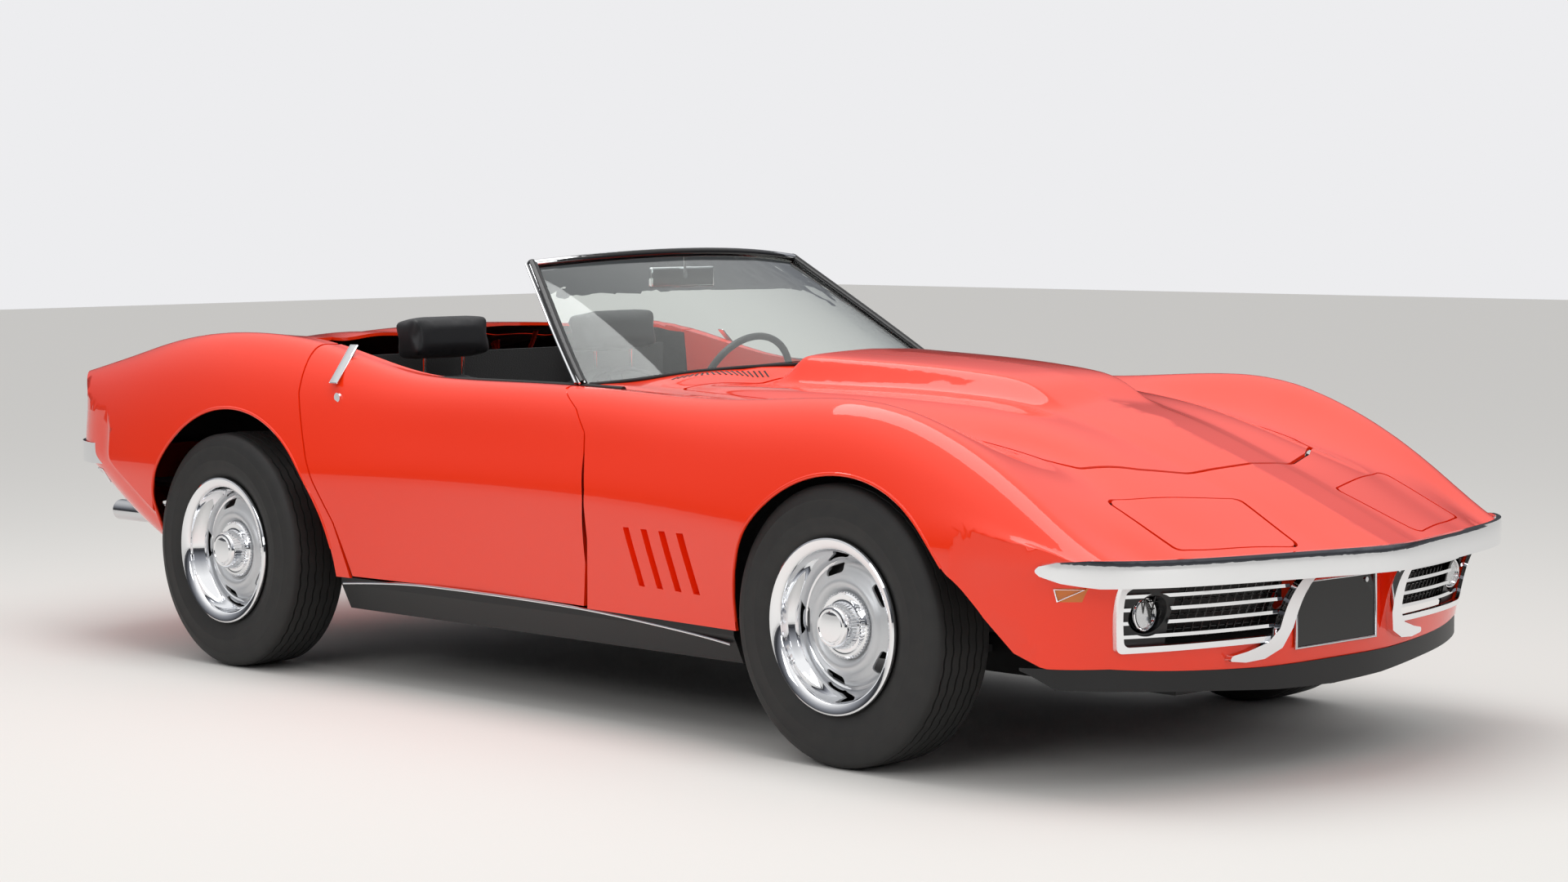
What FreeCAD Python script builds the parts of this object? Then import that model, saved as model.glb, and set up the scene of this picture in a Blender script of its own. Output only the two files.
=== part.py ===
import FreeCAD, Part
import math
import os
import re

import Sketcher
from FreeCAD import Placement, Rotation, Vector

# Open two-seat muscle car, modelled at full size in millimetres.
# X runs forward, Y to the car's left, Z up. The origin is on the ground under the middle of the car.
doc = FreeCAD.newDocument("open_muscle_car")
sheet = doc.addObject("Spreadsheet::Sheet", "sizes")

# Driving dimensions
SIZES = {
    "length": 4636,
    "body_width": 1753,
    "wheelbase": 2489,
    "front_overhang": 1010,
    "track_front": 1491,
    "track_rear": 1509,
    "axle_to_door": 928,
    "axle_to_shut": 311,
    "tyre_diameter": 676,
    "tyre_width": 208,
    "rim_diameter": 381,
    "rim_width": 203,
    "rim_flange": 17,
    "arch_gap_front": 62,
    "arch_gap_rear": 78,
    "skin": 9,
    "shut_gap": 6,
    "door_inner": 655,
    "door_tuck": 9,
    "hinge_hollow": 47.5,
    "sill_line": 297,
    "floor_thickness": 14,
    "tunnel_width": 220,
    "rail_width": 60,
    "rail_depth": 85,
    "rail_bottom": 200,
    "sill_rail": 660,
    "front_rail": 380,
    "rear_rail": 500,
    "kick_depth": 62,
    "luggage_floor": 470,
    "cowl_height": 820,
    "bulkhead_top": 880,
    "bulkhead": 950,
    "seat_centre": 325,
    "seat_width": 420,
    "seat_length": 500,
    "backrest_height": 590,
    "backrest_thickness": 120,
    "backrest_lean": 21,
    "headrest_width": 285,
    "headrest_height": 120,
    "wheel_turn": 375,
    "header_height": 1190,
    "pillar_width": 30,
    "glass_thickness": 6,
    "bumper_height": 62,
    "bumper_depth": 16,
    "kingpin": 655,
    "spindle_radius": 16,
    "king_pin_radius": 9,
    "rod_radius": 10,
    "running_gap": 0.3,
    "seating_gap": 0.3,
    "lamp_radius": 64,
    "tail_lamp_radius": 52,
    "parking_lamp_radius": 36,
    "tailpipe_radius": 32,
    "plate_width": 305,
    "plate_height": 152,
    "plate_bottom": 298,
    "gill_count": 4,
    "gill_pitch": 74,
    "gill_width": 44,
    "gill_height": 165,
    "bar_count": 4,
    "disc_face": 52,
    "cap_radius": 62,
    "cap_face": 100,
    "hub_depth": 24,
    "slot_count": 5,
    "slot_width": 62,
    "slot_depth": 22,
    "kingpin_reach": 95,
    "steering_arm": 140,
    "diff_half_width": 130,
    "engine_width": 500,
    "engine_height": 400,
    "exhaust_place": 545,
    "seat_front": -90,
    "seat_top": 390,
    "dash_front": 420,
    "wheel_x": -315,
    "wheel_z": 772,
    "column_lean": 20,
    "column_radius": 24,
    "pod_travel": 38,
    "mirror_width": 240,
}
for row, (name, value) in enumerate(SIZES.items(), start=1):
    sheet.set(f"A{row}", name)
    sheet.set(f"B{row}", str(value))
    sheet.setAlias(f"B{row}", name)
doc.recompute()


def size(name):
    """A driving dimension, read from the sheet."""
    return float(sheet.get(name))


# Landmarks along the car, from the driving dimensions
NOSE = size("length") / 2
FRONT_AXLE = NOSE - size("front_overhang")
REAR_AXLE = FRONT_AXLE - size("wheelbase")
TAIL = NOSE - size("length")
DOOR_FRONT = FRONT_AXLE - size("axle_to_door")
DOOR_REAR = REAR_AXLE + size("axle_to_shut")
HALF_WIDTH = size("body_width") / 2
BULKHEAD = -size("bulkhead")
GAP = size("shut_gap")
SKIN = size("skin")
nodes = {}


def keep(label, made):
    """Registers a document object as a sub-part under its label."""
    made.Label = label
    nodes[label] = made
    return made


def solid_node(label, shape):
    """A sub-part whose free-form shape is worked out in this file."""
    made = doc.addObject("Part::Feature", label)
    made.Shape = shape
    return keep(label, made)


def linked(formula):
    """A formula on the sheet's names, written as an expression for another object."""
    return re.sub("[a-z_]{4,}", lambda m: "sizes." + m[0] if m[0] in SIZES else m[0], str(formula))


def worth(formula):
    """The value of a formula on the sheet's names."""
    return float(sheet.evalExpression(str(formula)))


def bind(made, **formulas):
    """Binds an object's properties to formulas on the sheet's names."""
    for name, formula in formulas.items():
        made.setExpression(name.replace("__", "."), linked(formula))


def body(label, at=("0", "0", "0"), turned=0):
    """A PartDesign body placed by formulas, and turned about the vertical."""
    made = doc.addObject("PartDesign::Body", label)
    made.Placement = Placement(Vector(*[worth(a) for a in at]), Rotation(Vector(0, 0, 1), turned))
    bind(made, Placement__Base__x=at[0], Placement__Base__y=at[1], Placement__Base__z=at[2])
    return made


PLANES = {"XY": ("XY_Plane", Vector(0, 0, 1)), "XZ": ("XZ_Plane", Vector(0, -1, 0)),
          "YZ": ("YZ_Plane", Vector(1, 0, 0))}


def drawn(host, plane, offset, loops):
    """A sketch of closed outlines, each corner or circle placed by formulas."""
    made = host.newObject("Sketcher::SketchObject", "Sketch")
    role = PLANES[plane][0]
    made.AttachmentSupport = [(next(f for f in host.Origin.OriginFeatures if f.Role == role), "")]
    made.MapMode = "FlatFace"
    made.AttachmentOffset = Placement(Vector(0, 0, worth(offset)), Rotation())
    bind(made, AttachmentOffset__Base__z=offset)
    for loop in loops:
        if loop[0] == "circle":
            _, across, up, radius = loop
            centre = Vector(worth(across), worth(up), 0)
            ring = made.addGeometry(Part.Circle(centre, Vector(0, 0, 1), worth(radius)))
            place_point(made, ring, 3, across, up)
            fix = made.addConstraint(Sketcher.Constraint("Radius", ring, worth(radius)))
            made.setExpression(f"Constraints[{fix}]", linked(radius))
            continue
        points = [Vector(worth(a), worth(u), 0) for a, u in loop]
        lines = [made.addGeometry(Part.LineSegment(points[i], points[(i + 1) % len(points)]))
                 for i in range(len(points))]
        for i, line in enumerate(lines):
            made.addConstraint(Sketcher.Constraint("Coincident", line, 2, lines[(i + 1) % len(lines)], 1))
            place_point(made, line, 1, *loop[i])
    return made


def place_point(made, geometry, end, across, up):
    """Binds one point of a sketch to two formulas."""
    for kind, formula in (("DistanceX", across), ("DistanceY", up)):
        fix = made.addConstraint(Sketcher.Constraint(kind, geometry, end, worth(formula)))
        made.setExpression(f"Constraints[{fix}]", linked(formula))


def pad(host, plane, offset, loops, length, pocket=False, both=False):
    """A pad or pocket on outlines, its length a formula."""
    profile = drawn(host, plane, offset, loops)
    kind = "Pocket" if pocket else "Pad"
    made = host.newObject(f"PartDesign::{kind}", kind)
    made.Profile = profile
    made.Length = worth(length)
    bind(made, Length=length)
    made.Midplane = both
    host.Tip = made
    doc.recompute()
    return made


def spun(host, plane, outline, groove=False, axis="V_Axis"):
    """A revolution of an outline about one of its sketch's axes."""
    profile = drawn(host, plane, "0", [outline])
    made = host.newObject("PartDesign::Groove" if groove else "PartDesign::Revolution", "Revolution")
    made.Profile = profile
    made.ReferenceAxis = (profile, [axis])
    made.Angle = 360
    host.Tip = made
    doc.recompute()
    return made


def ring_of(host, feature, count):
    """Repeats a feature around the body's crosswise axis."""
    made = host.newObject("PartDesign::PolarPattern", "PolarPattern")
    made.Originals = [feature]
    made.Axis = (next(f for f in host.Origin.OriginFeatures if f.Role == "Y_Axis"), [""])
    made.Angle = 360
    made.Occurrences = int(worth(count))
    host.Tip = made
    doc.recompute()
    return made


def rounded(host, radius, chosen):
    """Fillets the edges of the body's last feature that a test picks."""
    tip = host.Tip
    names = [f"Edge{i}" for i, e in enumerate(tip.Shape.Edges, start=1) if chosen(e)]
    made = host.newObject("PartDesign::Fillet", "Fillet")
    made.Base = (tip, names)
    made.Radius = worth(radius)
    bind(made, Radius=radius)
    host.Tip = made
    doc.recompute()
    return made


def paired(label, made):
    """A sub-part made of a piece and its mirror image across the car."""
    made.Label = label + "_right"
    other = doc.addObject("Part::Mirroring", label + "_left")
    other.Source = made
    other.Normal = Vector(0, 1, 0)
    both = doc.addObject("Part::Compound", label)
    both.Links = [made, other]
    return keep(label, both)


# Body lines. Stations are measured on the standard car and move with the landmarks.
STANDARD = (-2318.0, -1181.0, -870.0, 380.0, 1308.0, 2318.0)
LANDMARKS = (TAIL, REAR_AXLE, DOOR_REAR, DOOR_FRONT, FRONT_AXLE, NOSE)


def along(x):
    """The place along the car of a standard station."""
    if x <= STANDARD[0]:
        return LANDMARKS[0] + x - STANDARD[0]
    if x >= STANDARD[-1]:
        return LANDMARKS[-1] + x - STANDARD[-1]
    i = max(k for k in range(len(STANDARD) - 1) if STANDARD[k] <= x)
    share = (x - STANDARD[i]) / (STANDARD[i + 1] - STANDARD[i])
    return LANDMARKS[i] + share * (LANDMARKS[i + 1] - LANDMARKS[i])


def fair(points):
    """A natural cubic spline through (station, value) pairs, as a function."""
    points = sorted(points)
    x = [p[0] for p in points]
    y = [p[1] for p in points]
    n = len(x)
    low, diagonal, high, right = [0.0] * n, [1.0] * n, [0.0] * n, [0.0] * n
    for i in range(1, n - 1):
        a, b = x[i] - x[i - 1], x[i + 1] - x[i]
        low[i], diagonal[i], high[i] = a, 2 * (a + b), b
        right[i] = 6 * ((y[i + 1] - y[i]) / b - (y[i] - y[i - 1]) / a)
    for i in range(1, n):
        w = low[i] / diagonal[i - 1]
        diagonal[i] -= w * high[i - 1]
        right[i] -= w * right[i - 1]
    bend = [0.0] * n
    for i in range(n - 2, 0, -1):
        bend[i] = (right[i] - high[i] * bend[i + 1]) / diagonal[i]

    def value(at):
        i = max([k for k in range(n - 1) if x[k] <= at] or [0])
        d = x[i + 1] - x[i]
        p, q = (x[i + 1] - at) / d, (at - x[i]) / d
        bent = (p**3 - p) * bend[i] + (q**3 - q) * bend[i + 1]
        return p * y[i] + q * y[i + 1] + bent * d * d / 6

    return value


# Heights of the centreline of the bonnet, cowl and deck
centre_z = fair([(2450, 470), (2318, 527), (2200, 574), (1987, 664), (1880, 704), (1730, 758), (1600, 800),
                 (1430, 838), (1200, 862), (900, 872), (700, 871), (540, 869), (490, 874), (440, 904), (400, 914),
                 (300, 916), (100, 918), (-400, 940),
                 (-950, 974), (-1200, 966), (-1500, 926), (-1750, 877), (-2000, 838), (-2150, 828),
                 (-2260, 836), (-2450, 862)])
# Raised middle of the bonnet: how far its shoulder stands above the flat beside it
tier_z = fair([(2450, 0), (2200, 0), (1990, 2), (1850, 8), (1730, 22), (1430, 38), (900, 26), (500, 14),
               (200, 6), (-950, 8), (-1500, 4), (-2450, 0)])
# Valley between the bonnet or deck and the fender
valley_y = fair([(2450, 500), (2100, 520), (1870, 530), (1730, 500), (1300, 560), (900, 600), (500, 625),
                 (0, 640), (-600, 640), (-950, 600), (-1300, 580), (-2000, 560), (-2450, 540)])
valley_z = fair([(2450, 440), (2318, 478), (2100, 553), (1870, 652), (1730, 700), (1500, 752), (1300, 780),
                 (900, 824), (500, 850), (200, 862), (-450, 872), (-700, 915), (-950, 948), (-1200, 940),
                 (-1500, 897), (-1750, 850), (-2000, 815), (-2200, 806), (-2450, 800)])
# Crown of the fenders
crown_inset = fair([(2450, 235), (2100, 175), (1954, 150), (1700, 135), (1300, 128), (900, 140), (380, 160),
                    (-200, 172), (-600, 165), (-950, 150), (-1200, 140), (-1600, 150), (-2000, 175),
                    (-2450, 200)])
crown_z = fair([(2450, 425), (2318, 450), (2150, 500), (2023, 556), (1954, 597), (1854, 664), (1700, 752),
                (1544, 817), (1384, 856), (1219, 866), (1050, 858), (850, 846), (600, 845), (350, 852),
                (0, 855), (-300, 853), (-470, 860), (-650, 888), (-850, 930), (-1080, 956), (-1289, 958),
                (-1500, 941), (-1675, 912), (-1855, 873), (-1970, 850), (-2110, 822), (-2450, 760)])
# Widest line of the side, which is a soft crease
widest_inset = fair([(2450, 190), (2200, 120), (2050, 78), (1900, 42), (1600, 8), (1308, 0), (1000, 16),
                     (700, 42), (380, 62), (0, 78), (-300, 80), (-600, 62), (-870, 28), (-1181, 0),
                     (-1500, 4), (-1800, 26), (-2050, 66), (-2200, 100), (-2450, 170)])
widest_z = fair([(2450, 350), (2000, 500), (1308, 540), (700, 566), (0, 576), (-870, 566), (-1500, 555),
                 (-2450, 545)])
# How far the side turns in at the sill
sill_inset = fair([(2450, 250), (2000, 135), (1700, 70), (1308, 62), (900, 82), (380, 112), (-300, 122),
                   (-870, 92), (-1181, 66), (-1500, 66), (-1900, 125), (-2450, 290)])
# Bonnet dome: height above the bonnet and half width of its flat top
dome_height = fair([(2450, 0), (1700, 0), (1445, 0), (1420, 5), (1380, 22), (1335, 38), (1290, 46), (1180, 52),
                    (900, 60), (500, 72), (200, 72), (-2450, 72)])
DOME_REAR = (503, 587)
dome_y = fair([(2450, 130), (1430, 165), (1200, 185), (900, 212), (500, 245), (-2450, 260)])
DOME_SLOPE = 48
SIDE_FLOOR = 100

STATIONS = [2450, 2390, 2318, 2250, 2180, 2100, 2020, 1940, 1860, 1780, 1700, 1620, 1540, 1480, 1450, 1430,
            1400, 1360, 1320, 1280, 1230, 1140, 1050, 950, 850, 740, 660, 615, 590, 575, 545, 515, 500, 485,
            460, 430, 400, 340, 240, 100, -60, -220, -380, -500,
            -620, -740, -860, -980, -1100, -1220, -1340, -1460, -1580, -1700, -1820, -1940, -2050, -2150,
            -2240, -2318, -2380, -2450]


def dome_on(x):
    """The dome's height: it ends in a slanted face above the bonnet's rear edge."""
    if not DOME_REAR[0] < x < 1445:
        return 0.0
    return max(0.0, dome_height(x)) * min(1.0, (x - DOME_REAR[0]) / (DOME_REAR[1] - DOME_REAR[0]))


def ridge_on(x):
    """How far the bonnet's middle falls away beside its centre ridge."""
    return 3 + 7 * min(1.0, max(0.0, (x - 1300) / 200))


def half_section(x, dome):
    """Control points of one half of a cross section, from the centreline down to the floor line."""
    widest = HALF_WIDTH - widest_inset(x)
    crown = HALF_WIDTH - crown_inset(x)
    sill = HALF_WIDTH - sill_inset(x)
    rise = dome_on(x) if dome else 0.0
    middle, tier = centre_z(x), tier_z(x)
    vy, vz = valley_y(x) + HALF_WIDTH - 876.5, valley_z(x)
    wz, cz = widest_z(x), crown_z(x)
    top = dome_y(x)
    flat = vz + tier + 0.35 * (middle - vz - tier)
    return [
        (0.0, middle + rise),
        (0.55 * top, middle - ridge_on(x) + rise),
        (top - 14, middle - 6 - ridge_on(x) + rise),
        (top, middle - 9 - ridge_on(x) + 0.94 * rise),
        (top + DOME_SLOPE - 10, middle - 15 - ridge_on(x) + 0.08 * rise),
        (top + DOME_SLOPE + 6, middle - 17 - ridge_on(x)),
        (0.45 * (top + DOME_SLOPE) + 0.55 * vy - 10, flat),
        (vy - 60, vz + 3),
        (vy, vz),
        (0.5 * (vy + crown - 60), 0.55 * vz + 0.45 * cz),
        (crown - 50, cz - 2),
        (crown + 6, cz + 8),
        (crown + 0.55 * (widest - crown), cz - 0.20 * (cz - wz)),
        (widest - 22, wz + 0.46 * (cz - wz)),
        (widest - 4, wz + 60),
        (widest + 4, wz + 10),
        (widest, wz - 26),
        (0.5 * (widest + sill) + 8, 0.5 * (wz + size("sill_line"))),
        (sill, size("sill_line") - 20),
        (sill - 20, SIDE_FLOOR),
    ]


def inward(section, depth):
    """A half section moved inwards by a wall's depth, its floor line kept."""
    moved = []
    mirrored = [(-section[1][0], section[1][1])] + section
    for i, (y, z) in enumerate(section):
        before = mirrored[i]
        after = section[i + 1] if i + 1 < len(section) else (y, z - 1)
        dy, dz = after[0] - before[0], after[1] - before[1]
        reach = math.hypot(dy, dz)
        moved.append((y + depth * dz / reach, z - depth * dy / reach))
    moved[0] = (0.0, moved[0][1])
    moved[-1] = (section[-1][0] - depth, SIDE_FLOOR)
    return moved


def clamped_knots(places, degree=3):
    """Knots and multiplicities that put a control point near each place."""
    inner = [sum(places[i : i + degree]) / degree for i in range(1, len(places) - degree)]
    return [places[0], *inner, places[-1]], [degree + 1] + [1] * len(inner) + [degree + 1]


def outward(made):
    """The solid with its faces turned outwards."""
    if made.Volume < 0:
        made.reverse()
    return made


def sheet_of(rows, u_places):
    """A smooth face from rows of control points."""
    u_knots, u_mults = clamped_knots(u_places)
    v_knots, v_mults = clamped_knots(list(range(len(rows[0]))))
    surface = Part.BSplineSurface()
    surface.buildFromPolesMultsKnots(rows, u_mults, v_mults, u_knots, v_knots, False, False, 3, 3)
    return surface.toShape()


def hull(depth=0.0, dome=False):
    """The left half of the body form: smooth skin, flat ends, flat bottom and the middle plane."""
    places = sorted(along(s) for s in STATIONS)
    rows = []
    for station in sorted(STATIONS):
        half = half_section(station, dome)
        if depth:
            half = inward(half, depth)
        rows.append([Vector(along(station), y, z) for y, z in half])
    skin = sheet_of(rows, places)
    low = [Vector(row[0].x, 0, SIDE_FLOOR) for row in (rows[0], rows[-1])]
    faces = [skin]
    for edge in skin.Edges:
        a, b = edge.Vertexes[0].Point, edge.Vertexes[-1].Point
        if edge.BoundBox.XLength < 1:
            corner = low[0] if abs(a.x - low[0].x) < 1 else low[1]
            faces.append(Part.Face(Part.Wire(Part.__sortEdges__(
                [edge, Part.makeLine(a, corner), Part.makeLine(corner, b)]))))
        elif abs(a.y) < 1:
            top = [a, b] if a.x < b.x else [b, a]
            faces.append(Part.Face(Part.Wire(Part.__sortEdges__(
                [edge, Part.makeLine(top[0], low[0]), Part.makeLine(low[0], low[1]),
                 Part.makeLine(low[1], top[1])]))))
        else:
            side = [a, b] if a.x < b.x else [b, a]
            faces.append(Part.Face(Part.Wire(Part.__sortEdges__(
                [edge, Part.makeLine(side[0], low[0]), Part.makeLine(low[0], low[1]),
                 Part.makeLine(low[1], side[1])]))))
    shell = Part.Shell(faces)
    shell.sewShape()
    return outward(Part.Solid(shell))


# Nose and tail faces: plan outlines at several heights, as (half width, set back from the tip)
NOSE_PLAN = [(0, 0), (60, 3), (230, 46), (500, 112), (650, 170), (745, 235), (800, 315), (835, 420),
             (850, 560), (860, 700)]
NOSE_LOW = [(0, 162), (60, 162), (230, 172), (500, 226), (650, 286), (745, 342), (790, 408), (815, 480),
            (835, 590), (850, 700)]
TAIL_PLAN = [(0, 0), (60, 0), (250, 14), (480, 60), (620, 112), (700, 165), (760, 235), (800, 330),
             (820, 450), (840, 600)]
# Height and share of the way from the tip outline to the low outline
NOSE_LEVELS = [(1200, 0.0), (800, 0.0), (620, 0.0), (556, 0.0), (540, 0.0), (524, 0.05), (505, 0.28),
               (480, 0.56), (430, 0.80), (380, 0.92), (330, 1.0), (280, 1.10), (200, 1.22), (20, 1.5)]
# Height and set back of the tail face
TAIL_LEVELS = [(1200, 10), (900, 2), (850, 0), (838, 3), (822, 24), (780, 38), (700, 34), (640, 24),
               (595, 20), (570, 24), (552, 50), (500, 140), (440, 235), (380, 350), (330, 470), (200, 770),
               (20, 1190)]
PLAN_SCALE = HALF_WIDTH / 876.5


def nose_point(i, share, inset):
    y, back = NOSE_PLAN[i]
    low_y, low_back = NOSE_LOW[i]
    y_at = (y + share * (low_y - y)) * PLAN_SCALE
    return NOSE - inset - (back + share * (low_back - back)), y_at


def tail_point(i, back, inset):
    y, plan_back = TAIL_PLAN[i]
    return TAIL + inset + plan_back + back, y * PLAN_SCALE


def end_cutter(levels, point, count, inset, reach):
    """A solid that cuts away everything past the nose or tail face."""
    rows = []
    for z, value in levels:
        half = [point(i, value, inset) for i in range(count)]
        row = [Vector(x, -y, z) for x, y in reversed(half[1:])] + [Vector(x, y, z) for x, y in half]
        sides = Vector(0, 400, 0)
        rows.append([row[0] - sides, *row, row[-1] + sides])
    return outward(sheet_of(rows, list(range(len(rows)))).extrude(Vector(reach, 0, 0)))


def trimmed_form(depth=0.0, dome=False):
    """The body form between its nose and tail faces. The nose stands back by the front bumper's depth."""
    made = hull(depth, dome)
    behind_bumper = depth + size("bumper_depth") + size("seating_gap")
    made = made.cut(end_cutter(NOSE_LEVELS, nose_point, len(NOSE_PLAN), behind_bumper, 1500))
    return made.cut(end_cutter(TAIL_LEVELS, tail_point, len(TAIL_PLAN), depth, -2500))


def prism_z(points, low=-50, high=1500, corner=0.0):
    """An upright prism on a plan outline."""
    return prism([Vector(x, y, low) for x, y in points], Vector(0, 0, high - low), corner)


def prism_y(points, low, high, corner=0.0):
    """A crosswise prism on a side outline."""
    return prism([Vector(x, low, z) for x, z in points], Vector(0, high - low, 0), corner)


def prism(points, reach, corner=0.0):
    """A prism on a closed outline, with its corners rounded."""
    count = len(points)
    edges, starts, stops = [], [], []
    for i, p in enumerate(points):
        a, b = points[i - 1], points[(i + 1) % count]
        to_a, to_b = (a - p).normalize(), (b - p).normalize()
        angle = to_a.getAngle(to_b)
        cut = corner / math.tan(angle / 2) if corner else 0.0
        cut = min(cut, 0.45 * (a - p).Length, 0.45 * (b - p).Length)
        cut = cut if cut > 0.5 else 0.0
        starts.append(p + to_a * cut)
        stops.append(p + to_b * cut)
        if cut:
            radius = cut * math.tan(angle / 2)
            bisector = (to_a + to_b).normalize()
            middle = p + bisector * (radius / math.sin(angle / 2) - radius)
            edges.append(Part.Arc(starts[-1], middle, stops[-1]).toShape())
        following = points[(i + 1) % count]
        edges.append((i, following))
    outline = []
    for item in edges:
        if isinstance(item, tuple):
            i = item[0]
            a, b = stops[i], starts[(i + 1) % count]
            if (b - a).Length > 0.01:
                outline.append(Part.makeLine(a, b))
        else:
            outline.append(item)
    return outward(Part.Face(Part.Wire(Part.__sortEdges__(outline))).extrude(reach))


def block(x0, x1, y0, y1, z0, z1):
    """A box between two corners."""
    return Part.makeBox(x1 - x0, y1 - y0, z1 - z0, Vector(x0, y0, z0))


def both_sides(shape):
    """The shape and its mirror image on the other side of the car."""
    return Part.makeCompound([shape, mirrored(shape)])


def mirrored(shape):
    return shape.mirror(Vector(0, 0, 0), Vector(0, 1, 0))


def one_solid(shape):
    """The biggest solid of a boolean's result."""
    return max(shape.Solids, key=lambda s: s.Volume)


def joined(shapes):
    """Overlapping solids made one."""
    made = shapes[0].multiFuse(shapes[1:])
    return made.removeSplitter()


# Body forms, left half
outer = trimmed_form()
inside = trimmed_form(SKIN)
walls = outer.cut(inside)
bonnet_walls = trimmed_form(0.0, True).cut(trimmed_form(SKIN, True))

# Shut lines of the door, seen from the side (x, z)
FRONT_CUT = [(196, 850), (286, 803), (346, 744), (380, 601), (375, 475), (325, 304)]
REAR_CUT = [(-878, 925), (-864, 803), (-797, 625), (-707, 447), (-665, 304)]
SILL = size("sill_line")
COCKPIT_SIDE = size("door_inner")


def door_outline(grow, bottom, tuck=0.0):
    """The door's side outline. The tuck moves the rear edge forward."""
    front = [(along(x) + grow, max(z, bottom)) for x, z in FRONT_CUT]
    rear = [(along(x) - grow + tuck, max(z, bottom)) for x, z in REAR_CUT]
    front[-1], rear[-1] = (front[-1][0], bottom), (rear[-1][0], bottom)
    return [(front[0][0] - 18, 1100)] + front + rear[::-1] + [(rear[0][0], 1100)]


def door_space():
    """The opening for the left door, as far in as the cockpit."""
    return prism_y(door_outline(GAP / 2, SILL - 40), COCKPIT_SIDE - 20, 1000, 40)


def door_block():
    """The left door's own region. Its rear edge tucks in towards the cockpit, so that it swings clear."""
    bottom, bend = SILL, COCKPIT_SIDE + 105
    rings = [Part.makePolygon([Vector(x, y, z) for x, z in outline + outline[:1]])
             for y, outline in ((COCKPIT_SIDE, door_outline(-GAP / 2, bottom, size("door_tuck"))),
                                (bend, door_outline(-GAP / 2, bottom)))]
    tucked = outward(Part.makeLoft(rings, True, True))
    return joined([tucked, prism_y(door_outline(-GAP / 2, bottom), bend, 1000)])


def arc_points(x, z, radius, start, stop, step=10):
    return [(x + radius * math.cos(math.radians(a)), z + radius * math.sin(math.radians(a)))
            for a in range(start, stop + 1, step)]


def mirrored_plan(half):
    """A full plan outline from the points of its left half, nose to tail."""
    return half + [(x, -y) for x, y in reversed(half) if y]


def bonnet_plan(grow):
    half = [(1880, 0), (1846, 200), (1800, 320), (1722, 440), (1640, 470), (1300, 505), (850, 540), (490, 585),
            (488, 0)]
    return mirrored_plan([(along(x) + (1.5 * grow if x > 1500 else -grow if x < 500 else 0), y + (grow if y else 0))
                          for x, y in half])


LID = [(1869, 528), (2096, 534), (2203, 227), (1987, 184)]


def lid_plan(grow):
    """The left headlamp lid's plan outline."""
    cx, cy = sum(x for x, y in LID) / 4, sum(y for x, y in LID) / 4
    out = []
    for x, y in LID:
        reach = math.hypot(x - cx, y - cy)
        out.append((along(x) + grow * 1.4 * (x - cx) / reach, y + grow * 1.4 * (y - cy) / reach))
    return out


def deck_plan(grow):
    return mirrored_plan([(BULKHEAD + GAP + grow, 600 + grow), (BULKHEAD - 450 - 1.5 * grow, 560 + grow)])


TAIL_LAMPS = (330, 530)
TAIL_LAMP_HEIGHT = 705
FRONT_MARKER = [(NOSE - 372, 444), (NOSE - 372, 476), (NOSE - 262, 476), (NOSE - 262, 444)]
MARKER_Y = 735
REAR_MARKER = [(TAIL + 350, 488), (TAIL + 350, 530), (TAIL + 420, 530), (TAIL + 420, 488)]


def grille_prism(shrink):
    """The left grille opening, seen from the front."""
    top, low = 476 - shrink, 335 + shrink
    return prism([Vector(1700, 640 - shrink, low), Vector(1700, 668 - shrink, top), Vector(1700, 202 + shrink, top),
                  Vector(1700, 222 + shrink, low)], Vector(800, 0, 0), 16)


def proud_of_nose(height):
    """The space just ahead of the nose face, up to a height above it."""
    count, face = len(NOSE_PLAN), size("bumper_depth")
    return end_cutter(NOSE_LEVELS, nose_point, count, face, 1500).cut(
        end_cutter(NOSE_LEVELS, nose_point, count, face - height, 1500))


def upright(levels, value):
    """The same levels with one value, for a face that stands upright."""
    return [(z, value) for z, _ in levels]


PIPE_HEIGHT = size("luggage_floor") - size("kick_depth") - 38
PIPE_ROOM = size("tailpipe_radius") + 12
GLASS_BASE = [(215, 665), (300, 570), (380, 400), (440, 200), (462, 0)]
front_radius = size("tyre_diameter") / 2 + size("arch_gap_front")
rear_radius = size("tyre_diameter") / 2 + size("arch_gap_rear")
LOWER_EDGE = [(2600, SILL - 40), (2110, SILL - 36), (2000, SILL - 10), (1900, SILL - GAP), (-740, SILL - GAP),
              (-1500, SILL + 40), (-2600, SILL + 40)]


def below_body(drop=0.0):
    """The space under the body's lower edge."""
    return prism_y([(x, z - drop) for x, z in LOWER_EDGE] + [(-2600, -100), (2600, -100)], -10, 1300)


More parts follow.
